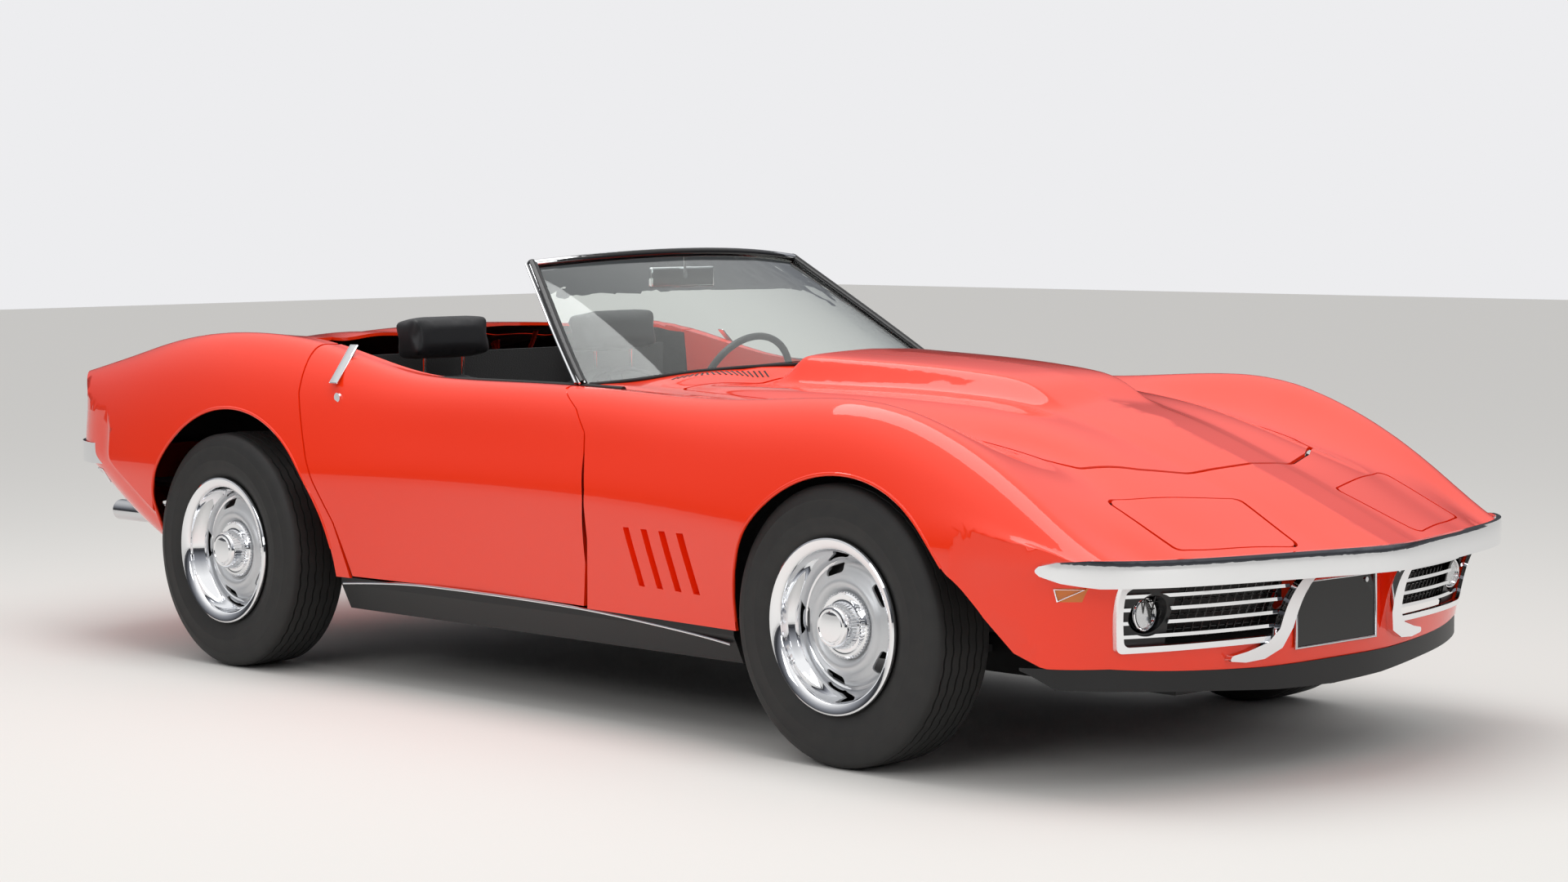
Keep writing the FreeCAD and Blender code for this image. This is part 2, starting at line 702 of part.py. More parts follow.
spaces = [
    below_body(),
    # cockpit
    prism_z([(BULKHEAD - 40, -10), (BULKHEAD - 40, COCKPIT_SIDE)] + [(along(x), y) for x, y in GLASS_BASE]
            + [(along(462), -10)], 600, 1500),
    prism_z(bonnet_plan(GAP / 2), 600, 1500, 30),
    prism_z(deck_plan(GAP / 2), 600, 1500, 30),
    door_space(),
    # wheel arches
    prism_y([(FRONT_AXLE + 620, 286), (FRONT_AXLE + 592, 295), (FRONT_AXLE + 532, 322), (FRONT_AXLE + 452, 417)]
            + arc_points(FRONT_AXLE + 27, 300, front_radius, 30, 180)
            + [(FRONT_AXLE + 35 - front_radius, -50), (FRONT_AXLE + 620, -50)], 480, 1000),
    prism_y(arc_points(REAR_AXLE + 31, 335, rear_radius, 0, 180)
            + [(REAR_AXLE + 16 - rear_radius, -50), (REAR_AXLE + 46 + rear_radius, -50)], 560, 1000),
    prism_z(lid_plan(GAP / 2), 500, 1200, 24),
    grille_prism(0),
    *[Part.makeCylinder(size("tail_lamp_radius"), 400, Vector(TAIL - 100, y, TAIL_LAMP_HEIGHT), Vector(1, 0, 0))
      for y in TAIL_LAMPS],
    prism_y(FRONT_MARKER, MARKER_Y, 1000, 5),
    prism_y(REAR_MARKER, 600, 1000, 5),
    # the tail pipe's notch
    prism([Vector(TAIL - 100, size("exhaust_place") + y, z) for y, z in
           ((-PIPE_ROOM, 200), (-PIPE_ROOM, PIPE_HEIGHT), (-0.6 * PIPE_ROOM, PIPE_HEIGHT + PIPE_ROOM),
            (0.6 * PIPE_ROOM, PIPE_HEIGHT + PIPE_ROOM), (PIPE_ROOM, PIPE_HEIGHT), (PIPE_ROOM, 200))],
          Vector(900, 0, 0), 14),
]
panels = walls
for space in spaces:
    panels = panels.cut(space)
pieces = sorted(panels.Solids, key=lambda p: -p.Volume)


def whole(half):
    """A left half and its mirror image, made one."""
    return one_solid(half.fuse(mirrored(half)))


# the fender's gills: pockets in a thicker wall, each leaning back and narrowing inwards
GILL_TOP, GILL_FOOT = 525, 525 - size("gill_height")
lean = 0.2 * size("gill_height")
nose = next(p for p in pieces if p.CenterOfMass.x > 200)
gill_wall = outer.common(prism_y([(along(498), GILL_TOP + 22), (along(800), GILL_TOP + 22),
                                  (along(836), GILL_FOOT - 18), (along(534), GILL_FOOT - 18)], 742, 1000))
nose = one_solid(nose.fuse(one_solid(gill_wall)))
for i in range(int(size("gill_count"))):
    rear = along(518) + i * size("gill_pitch")
    front = rear + size("gill_width")
    mouth = [Vector(rear, 900, GILL_TOP), Vector(front, 900, GILL_TOP), Vector(front + lean, 900, GILL_FOOT),
             Vector(rear + lean, 900, GILL_FOOT)]
    heel = [Vector(rear + 22, 796, GILL_TOP - 8), Vector(front - 4, 786, GILL_TOP - 8),
            Vector(front + lean - 4, 756, GILL_FOOT + 14), Vector(rear + lean + 22, 766, GILL_FOOT + 14)]
    slot = Part.makeLoft([Part.makePolygon(ring + ring[:1]) for ring in (mouth, heel)], True, True)
    nose = one_solid(nose.cut(outward(slot)))
# the recess for the number plate, between the grilles
PLATE_FACE = NOSE - 192
nose = one_solid(nose.fuse(outer.common(block(PLATE_FACE - SKIN, 2400, -1, 188, 262, 484))))
nose = one_solid(nose.cut(block(PLATE_FACE, 2400, -10, 179, 200, 475)))


# Hinges. Each swinging panel carries goosenecks with pins, and plates with bores hang from the fixed skin
SEAT, RUN = size("seating_gap"), size("running_gap")
ARM = 8
into_skin = inside.translated(Vector(0, 0, 3))


def rod(at, y0, y1, radius):
    """A crosswise pin at a place (x, z)."""
    return Part.makeCylinder(radius, y1 - y0, Vector(at[0], y0, at[1]), Vector(0, 1, 0))


def gooseneck(points, y, half):
    """A flat arm along points (x, z), with a round end at each."""
    made = [rod(at, y, y + ARM, half) for at in points]
    for (x0, z0), (x1, z1) in zip(points, points[1:]):
        reach = math.hypot(x1 - x0, z1 - z0)
        dx, dz = half * (z0 - z1) / reach, half * (x1 - x0) / reach
        made.append(prism_y([(x0 + dx, z0 + dz), (x1 + dx, z1 + dz), (x1 - dx, z1 - dz), (x0 - dx, z0 - dz)],
                            y, y + ARM))
    return joined(made)


def hanger(at, y, radius):
    """A plate with a bore for a pin, long enough to reach the skin above."""
    x, z = at
    plate = prism_y([(x - 14, z - 13), (x + 14, z - 13), (x + 14, z + 90), (x - 14, z + 90)], y, y + ARM, 6)
    return plate.cut(rod(at, y - 1, y + ARM + 1, radius + RUN))


def with_parts(panel, *parts):
    """A panel and the parts that grow from its underside."""
    for part in parts:
        panel = one_solid(panel.fuse(part))
    return panel


BONNET_ARM, LID_ARM, PIN = 124, 440, 6
BONNET_PIVOT, LID_PIVOT = (NOSE - 168, 550), (BULKHEAD - 600, 876)
bonnet_neck = gooseneck([BONNET_PIVOT, (NOSE - 463, 347), (NOSE - 558, 728)], BONNET_ARM, 7).common(into_skin)
lid_neck = gooseneck([LID_PIVOT, (BULKHEAD - 498, 716), (BULKHEAD - 380, 930)], LID_ARM, 7).common(into_skin)
nose = with_parts(nose, hanger(BONNET_PIVOT, BONNET_ARM + ARM + 4, PIN).common(into_skin))
tail = with_parts(next(p for p in pieces if p.CenterOfMass.x < -800),
                  hanger(LID_PIVOT, LID_ARM + ARM + 4, PIN).common(into_skin))
bonnet = with_parts(one_solid(bonnet_walls.common(prism_z(bonnet_plan(-GAP / 2), 600, 1500, 30))),
                    bonnet_neck, rod(BONNET_PIVOT, BONNET_ARM, BONNET_ARM + 2 * ARM + 6, PIN))
rear_lid = with_parts(one_solid(walls.common(prism_z(deck_plan(-GAP / 2), 600, 1500, 30))),
                      lid_neck, rod(LID_PIVOT, LID_ARM, LID_ARM + 2 * ARM + 6, PIN))
# the headlamp pods turn about a line parallel to their lids' slanted rear edges
LAMP_AXIS = Vector(LID[3][0] - LID[0][0], LID[3][1] - LID[0][1], -17).normalize()
LAMP_PIVOT = Vector(along(1885), 341, 642)
lamp_frame = Placement(LAMP_PIVOT, Rotation(LAMP_AXIS.cross(Vector(0, 0, -1)), -LAMP_AXIS, Vector(0, 0, 1), "YXZ"))
LAMP_SPAN = 165


def at_lamp(shape):
    """A shape written about the left lamps' hinge line, put in its place."""
    moved = shape.copy()
    moved.Placement = lamp_frame.multiply(moved.Placement)
    return moved


for y in (-LAMP_SPAN - ARM, LAMP_SPAN):
    nose = with_parts(nose, at_lamp(hanger((0, 0), y, 4)).common(into_skin))
# a door's strap bends round the fender's edge to a pin under the skin, which turns in the fender's leaf
HINGE_X, HINGE_Y, HINGE_HEIGHTS = along(400), 776, (468, 606)


def door_strap(z):
    x, y = HINGE_X, HINGE_Y
    plan = [(x - 3, y + 3), (x - 27, y - 23), (x - 60, y - 23), (x - 60, y - 31), (x - 23, y - 31), (x + 3, y - 3)]
    return joined([Part.makeCylinder(8, 10, Vector(x, y, z)), Part.makeCylinder(5, 24, Vector(x, y, z)),
                   prism_z(plan, z, z + 10)])


def door_leaf(z):
    x, y = HINGE_X, HINGE_Y
    leaf = block(x - 12, x + 12, y - 12, y + 60, z + 12, z + 20).common(inside.translated(Vector(0, 3, 0)))
    return leaf.cut(Part.makeCylinder(5 + RUN, 20, Vector(x, y, z + 6)))


# the door's front face is hollowed round the pins, so that it swings clear of the fender's edge
hollow = Part.makeCylinder(size("hinge_hollow"), 1000, Vector(HINGE_X, HINGE_Y, 0))
left_door = with_parts(one_solid(outer.common(door_block()).cut(hollow)), *[door_strap(z) for z in HINGE_HEIGHTS])
nose = with_parts(nose, *[door_leaf(z) for z in HINGE_HEIGHTS])
solid_node("nose_clip", whole(nose))
solid_node("rear_clip", whole(tail))
solid_node("bonnet", whole(bonnet))
solid_node("rear_lid", whole(rear_lid))
left_lid = one_solid(walls.common(prism_z(lid_plan(-GAP / 2), 500, 1200, 24)))
solid_node("lamp_lid_left", left_lid)
solid_node("lamp_lid_right", mirrored(left_lid))
solid_node("door_left", left_door)
solid_node("door_right", mirrored(left_door))

# Chassis: places along the car as formulas on the sheet's names
FRONT = "(length / 2 - front_overhang)"
REAR = "(length / 2 - front_overhang - wheelbase)"
AXLE = "tyre_diameter / 2"
RAIL_TOP = "(rail_bottom + rail_depth)"


def mirrored_loop(half):
    """A closed outline from its left half, written from front to rear."""
    return half + [(a, f"-({u})") for a, u in reversed(half)]


def chassis():
    made = body("chassis_frame")
    inner_edge, outer_edge = "(sill_rail - rail_width / 2)", "(sill_rail + rail_width / 2)"
    narrow, wide = "(front_rail - rail_width / 2)", "(front_rail + rail_width / 2)"
    outline = mirrored_loop([
        ("length / 2 - 330", wide), (f"{FRONT} - 300", wide), (f"{FRONT} - 570", outer_edge),
        (f"{REAR} + 415", outer_edge), (f"{REAR} + 290", "rear_rail + rail_width / 2")])
    hollow = mirrored_loop([
        ("length / 2 - 390", narrow), (f"{FRONT} - 310", narrow), (f"{FRONT} - 580", inner_edge),
        (f"{REAR} + 404", inner_edge), (f"{REAR} + 350", "rear_rail - rail_width / 2")])
    pad(made, "XY", "rail_bottom", [outline, hollow], "rail_depth")
    pad(made, "XY", "rail_bottom", [mirrored_loop([(f"{FRONT} + 45", wide), (f"{FRONT} - 45", wide)])], "rail_depth")
    for side in ("", "-1 * "):
        post = [(f"{REAR} + 350", f"{side}(rear_rail + rail_width / 2)"),
                (f"{REAR} + 350", f"{side}(rear_rail - rail_width / 2)"),
                (f"{REAR} + 290", f"{side}(rear_rail - rail_width / 2)"),
                (f"{REAR} + 290", f"{side}(rear_rail + rail_width / 2)")]
        pad(made, "XY", "rail_bottom", [post], "luggage_floor - rail_bottom")
        rail = [(a if "350" in a else "-length / 2 + 400", u) for a, u in post]
        pad(made, "XY", "luggage_floor - kick_depth", [rail], "kick_depth")
    end = mirrored_loop([("-length / 2 + 460", "rear_rail + rail_width / 2"),
                         ("-length / 2 + 400", "rear_rail + rail_width / 2")])
    pad(made, "XY", "luggage_floor - kick_depth", [end], "kick_depth")
    # guides for the steering rod
    guide = "(rod_radius + 14)"
    ahead, behind = f"{FRONT} - steering_arm + {guide}", f"{FRONT} - steering_arm - {guide}"
    for side in ("", "-1 * "):
        boss = [(ahead, f"{side}{narrow}"), (ahead, f"{side}{wide}"),
                (behind, f"{side}{wide}"), (behind, f"{side}{narrow}")]
        pad(made, "XY", RAIL_TOP, [boss], f"{AXLE} - 40 + {guide} - {RAIL_TOP}")
    pad(made, "XZ", "0", [("circle", f"{FRONT} - steering_arm", f"{AXLE} - 40", "rod_radius + running_gap")],
        "2 * front_rail + 2 * rail_width", pocket=True, both=True)
    keep("chassis_frame", made)


def floor_tub():
    made = body("floor_tub")
    t = "floor_thickness"
    side = [(f"{FRONT} - 605", "cowl_height"), (f"{FRONT} - 605", "rail_bottom"), (f"{REAR} + 429", "rail_bottom"),
            (f"{REAR} + 354", "luggage_floor"), ("-length / 2 + 340", "luggage_floor"),
            ("-length / 2 + 340", f"luggage_floor + {t}"), (f"{REAR} + 350 + {t}", f"luggage_floor + {t}"),
            (f"{REAR} + 425 + {t}", f"rail_bottom + {t}"), (f"{FRONT} - 605 - {t}", f"rail_bottom + {t}"),
            (f"{FRONT} - 605 - {t}", "cowl_height")]
    pad(made, "XZ", "0", [side], "2 * sill_rail - rail_width", both=True)
    tunnel = "tunnel_width / 2"
    pad(made, "XY", "rail_bottom - 10",
        [mirrored_loop([(f"{FRONT} - 590", f"{tunnel} - {t} / 2"), (f"{REAR} + 334", f"{tunnel} - {t} / 2")])],
        "luggage_floor - rail_bottom + 10", pocket=True).Reversed = True
    doc.recompute()
    hat = [(f"-{tunnel}", "rail_bottom"), (f"-{tunnel}", f"luggage_floor + {t}"), (tunnel, f"luggage_floor + {t}"),
           (tunnel, "rail_bottom"), (f"{tunnel} - {t}", "rail_bottom"), (f"{tunnel} - {t}", "luggage_floor"),
           (f"{t} - {tunnel}", "luggage_floor"), (f"{t} - {tunnel}", "rail_bottom")]
    pad(made, "YZ", f"{REAR} + 350 + seating_gap", [hat], "wheelbase - 955 - seating_gap")
    edge = "sill_rail - rail_width / 2"
    wall = mirrored_loop([(f"-bulkhead + {t}", edge), ("-bulkhead", edge)])
    pad(made, "XY", f"luggage_floor + {t}", [wall], "bulkhead_top - luggage_floor")
    keep("floor_tub", made)


def rockers():
    top = "sill_line - shut_gap - seating_gap"
    outline = [("sill_rail + rail_width / 2", "rail_bottom"), ("sill_rail + rail_width / 2 + 46", "rail_bottom"),
               ("sill_rail + rail_width / 2 + 78", "sill_line - 26"), ("sill_rail + rail_width / 2 + 78", top),
               ("sill_rail - rail_width / 2", top), ("sill_rail - rail_width / 2", RAIL_TOP),
               ("sill_rail + rail_width / 2", RAIL_TOP)]
    made = body("rocker")
    pad(made, "YZ", f"{REAR} + 455", [outline], "wheelbase - 875")
    paired("rockers", made)


def tyre(label, at):
    """A tyre: one outline spun round the axle."""
    made = body(label, at)
    seat, out, half = "(rim_diameter / 2 + seating_gap)", "tyre_diameter / 2", "tyre_width / 2"
    side = [(f"{seat}", f"{half} - 26"), (f"{seat} + 55", half), (f"{out} - 20", f"{half} - 10"),
            (out, f"{half} - 34")]
    spun(made, "XY", side + [(a, f"-({u})") for a, u in reversed(side)])
    return keep(label, made)


def wheel(label, at, turned, shaft=""):
    """A slotted steel wheel with its trim ring and cap, and the half shaft of a driven one."""
    made = body(label, at, turned)
    seat, flange, half = "rim_diameter / 2", "(rim_diameter / 2 + rim_flange)", "rim_width / 2"
    outline = [
        (seat, f"{half} - 22"), (f"{flange} - 3", f"{half} - 8"), (f"{flange} + 2", f"{half} - 2"),
        (f"{flange} + 2", half), (f"{flange} - 6", f"{half} + 2"), (f"{seat} - 14", f"{half} - 12"),
        (f"{seat} - 26", f"{half} - 36"), (f"{seat} - 40", "disc_face - 2"), ("cap_radius + 44", "disc_face + 2"),
        ("cap_radius + 4", "disc_face - 6"), ("cap_radius", "disc_face - 6"), ("cap_radius", "cap_face - 8"),
        ("cap_radius - 8", "cap_face"), ("cap_radius - 20", "cap_face + 4"), ("cap_radius / 3", "cap_face + 8"),
        ("0", "cap_face + 9"), ("0", "disc_face - 18"), ("spindle_radius + running_gap", "disc_face - 18"),
        ("spindle_radius + running_gap", "-hub_depth"), ("cap_radius - 8", "-hub_depth"),
        ("cap_radius - 8", "disc_face - 12"),
        ("cap_radius + 44", "disc_face - 4"), (f"{seat} - 42", "disc_face - 9"), (f"{seat} - 26", "disc_face - 20"),
        (f"{seat} - 22", f"22 - {half}"), (f"{seat} - 8", f"12 - {half}"), (f"{flange} - 5", f"2 - {half}"),
        (f"{flange} - 3", f"-{half}"), (f"{flange}", f"-{half}"), (f"{flange}", f"6 - {half}"),
        (seat, f"20 - {half}")]
    spun(made, "XY", outline)
    slot = pad(made, "XZ", "-rim_width", [[("-slot_width / 2", f"{seat} - 44"), ("slot_width / 2", f"{seat} - 44"),
                                           ("slot_width / 2 - 5", f"{seat} - 44 - slot_depth"),
                                           ("5 - slot_width / 2", f"{seat} - 44 - slot_depth")]],
               "rim_width", pocket=True)
    doc.recompute()
    ring_of(made, slot, "slot_count")
    if shaft:
        pad(made, "XZ", "hub_depth - 10", [("circle", "0", "0", "cap_radius / 2")], "12")
        pad(made, "XZ", "hub_depth", [("circle", "0", "0", "spindle_radius")], shaft)
    return keep(label, made)


def knuckle(label, side):
    """A front upright with its spindle and steering arm, for the left (1) or right (-1) wheel."""
    sign = "" if side > 0 else "-"
    made = body(label, (FRONT, f"{sign}kingpin", AXLE), 0 if side > 0 else 180)
    arm = "-1 * " if side > 0 else ""
    pad(made, "XY", "27 - kingpin_reach", [[("-18", "-16"), ("18", "-16"), ("18", "16"), ("-18", "16")]],
        "2 * (kingpin_reach - 27)")
    pad(made, "XY", "4 - kingpin_reach", [("circle", "0", "0", "king_pin_radius")], "2 * (kingpin_reach - 4)")
    pad(made, "XZ", "-(track_front / 2 - kingpin + 20)", [("circle", "0", "0", "spindle_radius")],
        "track_front / 2 - kingpin + 20")
    pad(made, "XY", "-50", [[(f"{arm}(steering_arm + 12)", "-34"), (f"{arm}(steering_arm + 12)", "-12"),
                             (f"{arm}10", "14"), (f"{arm}10", "-14")]], "20")
    return keep(label, made)


def front_suspension():
    """Lower and upper arms with the spring tower that carries them."""
    made = body("front_arm")
    inner, outer = "(front_rail + rail_width / 2)", "(kingpin + 22)"
    lower = [(f"{FRONT} + 110", inner), (f"{FRONT} + 22", outer), (f"{FRONT} - 22", outer), (f"{FRONT} - 110", inner)]
    eye = ("circle", FRONT, "kingpin", "king_pin_radius + running_gap")
    tower = [(f"{FRONT} + 60", "front_rail - rail_width / 2"), (f"{FRONT} + 60", "front_rail + rail_width / 2"),
             (f"{FRONT} - 60", "front_rail + rail_width / 2"), (f"{FRONT} - 60", "front_rail - rail_width / 2")]
    pad(made, "XY", RAIL_TOP, [tower], f"{AXLE} + kingpin_reach - {RAIL_TOP}")
    pad(made, "XY", f"{AXLE} + kingpin_reach - 22", [lower, eye], "18")
    pad(made, "XY", f"{AXLE} - kingpin_reach + 4", [lower, eye], "18")
    paired("front_suspension", made)


def steering_linkage():
    made = body("steering_linkage", (f"{FRONT} - steering_arm", "0", f"{AXLE} - 40"))
    pad(made, "XZ", "0", [("circle", "0", "0", "rod_radius")], "2 * (kingpin - 44)", both=True)
    keep("steering_linkage", made)


def rear_suspension():
    """Differential, crosswise leaf spring and the arms that carry the wheel bearings."""
    made = body("rear_suspension")
    case = [(f"{REAR} + 110", "luggage_floor"), (f"{REAR} + 110", f"{AXLE} - 90"), (f"{REAR} - 90", f"{AXLE} - 90"),
            (f"{REAR} - 130", f"{AXLE} - 40"), (f"{REAR} - 130", "luggage_floor")]
    pad(made, "XZ", "0", [case], "2 * diff_half_width", both=True)
    spring = [(f"{REAR} - 70", f"{AXLE} - 112"), (f"{REAR} - 10", f"{AXLE} - 112"), (f"{REAR} - 10", f"{AXLE} - 88"),
              (f"{REAR} - 70", f"{AXLE} - 88")]
    pad(made, "XZ", "0", [spring], "2 * (rear_rail + 90)", both=True)
    for sign in ("", "-1 * "):
        arm = [(f"{REAR} + 292", f"{AXLE} - 70"), (f"{REAR} + 292", f"{AXLE} - 10"), (f"{REAR} + 40", f"{AXLE} + 45"),
               (f"{REAR} - 50", f"{AXLE} + 45"), (f"{REAR} - 70", f"{AXLE} - 95"), (f"{REAR} + 40", f"{AXLE} - 95")]
        bore = ("circle", REAR, AXLE, "spindle_radius + running_gap")
        pad(made, "XZ", "-(rear_rail + 100)" if not sign else "rear_rail + 55", [arm, bore], "45")
        housing = ("circle", REAR, AXLE, "spindle_radius + 26")
        reach = "(track_rear / 2 - hub_depth - 14)"
        pad(made, "XZ", f"-{reach}" if not sign else "rear_rail + 99", [housing, bore], f"{reach} - rear_rail - 99")
    keep("rear_suspension", made)


def engine():
    """The closed engine as one plain block, with its gearbox and the propeller shaft."""
    made = body("engine")
    block = mirrored_loop([(f"{FRONT} + 130", "engine_width / 2"), (f"{FRONT} - 570", "engine_width / 2")])
    pad(made, "XY", f"{AXLE} + 5", [block], "engine_height")
    mounts = mirrored_loop([(f"{FRONT} + 45", "engine_width / 2"), (f"{FRONT} - 40", "engine_width / 2")])
    pad(made, "XY", RAIL_TOP, [mounts], f"{AXLE} + 15 - {RAIL_TOP}")
    pad(made, "YZ", f"{FRONT} - 1200", [("circle", "0", f"{AXLE} + 15", "tunnel_width / 2 - 25")], "640")
    pad(made, "YZ", f"{REAR} + 110 + seating_gap", [("circle", "0", f"{AXLE} + 5", "34")], "wheelbase - 1290")
    keep("engine", made)


def exhausts():
    made = body("exhaust")
    muffler = [("-length / 2 + 590", "exhaust_place - 130"), ("-length / 2 + 590", "exhaust_place + 50"),
               ("-length / 2 + 870", "exhaust_place + 50"), ("-length / 2 + 870", "exhaust_place - 130")]
    pad(made, "XY", "luggage_floor - kick_depth - 120", [muffler], "120")
    rounded(made, "24", lambda e: e.BoundBox.XLength > 250 and e.BoundBox.ZMin < 380)
    tip = ("circle", "exhaust_place", "luggage_floor - kick_depth - 38", "tailpipe_radius")
    bore = ("circle", "exhaust_place", "luggage_floor - kick_depth - 38", "tailpipe_radius - 3")
    pad(made, "YZ", "-length / 2 + 120", [tip], "480")
    pad(made, "YZ", "-length / 2 + 110", [bore], "120", pocket=True).Reversed = True
    paired("exhausts", made)


def seats():
    """Cushions, backs and head restraints: plain closed forms."""
    half = "seat_width / 2"
    cushion = body("seat_cushion")
    floor = "rail_bottom + floor_thickness + seating_gap"
    outline = [("seat_front", floor), ("seat_front + 20", "seat_top - 60"), ("seat_front - 20", "seat_top - 10"),
               ("seat_front - 90", "seat_top"), ("seat_front - seat_length + 60", "seat_top - 55"),
               ("seat_front - seat_length", "seat_top - 70"), ("seat_front - seat_length", floor)]
    pad(cushion, "XZ", f"-(seat_centre + {half})", [outline], "seat_width")
    rounded(cushion, "30", lambda e: e.BoundBox.YLength < 1 and e.BoundBox.ZMin > 260 and e.BoundBox.XLength > 100)
    paired("seat_cushions", cushion)
    lean = math.radians(size("backrest_lean"))
    back = body("seat_back")
    low = "(seat_front - seat_length - 4)"
    up, fore = "backrest_height * cos(backrest_lean)", "backrest_height * sin(backrest_lean)"
    across, thick = "backrest_thickness * cos(backrest_lean)", "backrest_thickness * sin(backrest_lean)"
    base = "seat_top - 60"
    outline = [(low, floor), (f"{low}", base), (f"{low} + 10", f"{base} + 40"), (f"{low} - {fore}", f"{base} + {up}"),
               (f"{low} - {fore} - {across}", f"{base} + {up} - {thick}"), (f"{low} - {across}", f"{base} - 40"),
               (f"{low} - 60", floor)]
    pad(back, "XZ", f"-(seat_centre + {half})", [outline], "seat_width")
    rounded(back, "30", lambda e: e.BoundBox.YLength < 1 and e.BoundBox.ZLength > 250)
    paired("seat_backs", back)
    rest = body("headrest")
    top = f"{base} + {up}"
    def on_back(away):
        return f"{low} - {fore} - {away}", f"{top} - ({away}) * tan(backrest_lean) + seating_gap / cos(backrest_lean)"
    outline = [on_back("8"), (f"{low} - {fore} - 24", f"{top} + headrest_height"),
               (f"{low} - {fore} - {across} + 4", f"{top} + headrest_height"), on_back(f"{across} - 4"), on_back("40")]
    pad(rest, "XZ", "-(seat_centre + headrest_width / 2)", [outline], "headrest_width")
    rounded(rest, "22", lambda e: e.BoundBox.ZMin > worth(top) + 20)
    paired("headrests", rest)


def cabin():
    dash = body("dashboard")
    outline = [("dash_front", "cowl_height - 5"), ("dash_front + 40", "cowl_height - 240"),
               ("dash_front - 110", "cowl_height - 230"), ("dash_front - 220", "cowl_height - 150"),
               ("dash_front - 235", "cowl_height - 70"), ("dash_front - 190", "cowl_height + 10"),
               ("dash_front - 100", "cowl_height + 26")]
    pad(dash, "XZ", "0", [outline], "2 * (door_inner - 25)", both=True)
    # the column hangs from a block under the dashboard, cut to the column's lean
    on_column = "tan(column_lean) + column_radius / cos(column_lean) + seating_gap"
    behind, ahead, high = "(dash_front - 135)", "(dash_front - 95)", "cowl_height - 215"
    saddle = {x: f"wheel_z - ({x} - wheel_x) * {on_column}" for x in (behind, ahead)}
    hanger = [(behind, high), (behind, saddle[behind]), (ahead, saddle[ahead]), (ahead, high)]
    pad(dash, "XZ", "-(seat_centre + 100)", [hanger], "60")
    keep("dashboard", dash)
    console = body("console")
    top = "luggage_floor + floor_thickness"
    outline = [("-600", top), ("-590", f"{top} + 70"), ("-300", f"{top} + 60"), ("60", f"{top} + 66"),
               ("dash_front - 150", f"cowl_height - 215"), ("dash_front - 110", top)]
    pad(console, "XZ", "0", [outline], "tunnel_width - 40", both=True)
    pad(console, "XY", f"{top} + 40", [("circle", "-120", "0", "10")], "130")
    keep("console", console)
    # steering column and wheel share one leaning axis
    lean = Rotation(Vector(0, 1, 0), size("column_lean"))
    column = body("steering_column", ("wheel_x", "seat_centre + 70", "wheel_z"))
    column.Placement = Placement(column.Placement.Base, lean)
    bind(column, Placement__Rotation__Angle="column_lean")
    reach = f"({FRONT} - 605 - floor_thickness - wheel_x) / cos(column_lean)"
    pad(column, "YZ", "20 + running_gap", [("circle", "0", "0", "column_radius")],
        f"{reach} - column_radius * tan(column_lean) - 20 - 2 * seating_gap")
    keep("steering_column", column)
    wheel = body("steering_wheel", ("wheel_x", "seat_centre + 70", "wheel_z"))
    wheel.Placement = Placement(wheel.Placement.Base, lean)
    bind(wheel, Placement__Rotation__Angle="column_lean")
    rim = drawn(wheel, "XY", "0", [("circle", "0", "wheel_turn / 2 - 12", "12")])
    hoop = wheel.newObject("PartDesign::Revolution", "Revolution")
    hoop.Profile = rim
    hoop.ReferenceAxis = (rim, ["H_Axis"])
    hoop.Angle = 360
    wheel.Tip = hoop
    doc.recompute()
    pad(wheel, "YZ", "-6", [("circle", "0", "0", "42")], "26")
    spokes = [("-(wheel_turn / 2 - 14)", "-12"), ("wheel_turn / 2 - 14", "-12"), ("wheel_turn / 2 - 14", "14"),
              ("-(wheel_turn / 2 - 14)", "14")]
    pad(wheel, "YZ", "0", [spokes], "5")
    pad(wheel, "YZ", "0", [[("-13", "0"), ("13", "0"), ("13", "-(wheel_turn / 2 - 14)"),
                            ("-13", "-(wheel_turn / 2 - 14)")]], "5")
    keep("steering_wheel", wheel)


def swept(points, radius):
    """A round bar along a smooth path through points."""
    path = Part.BSplineCurve()
    path.interpolate([Vector(*p) for p in points])
    edge = path.toShape()
    start, reach = edge.FirstParameter, edge.LastParameter - edge.FirstParameter
    count = 2 * len(points) - 1
    rings = []
    for i in range(count):
        at = start + reach * i / (count - 1)
        rings.append(Part.Wire([Part.makeCircle(radius, edge.valueAt(at), edge.tangentAt(at))]))
    return outward(Part.makeLoft(rings, True))


HEADER = [(-208, 492), (-160, 350), (-118, 180), (-104, 0)]


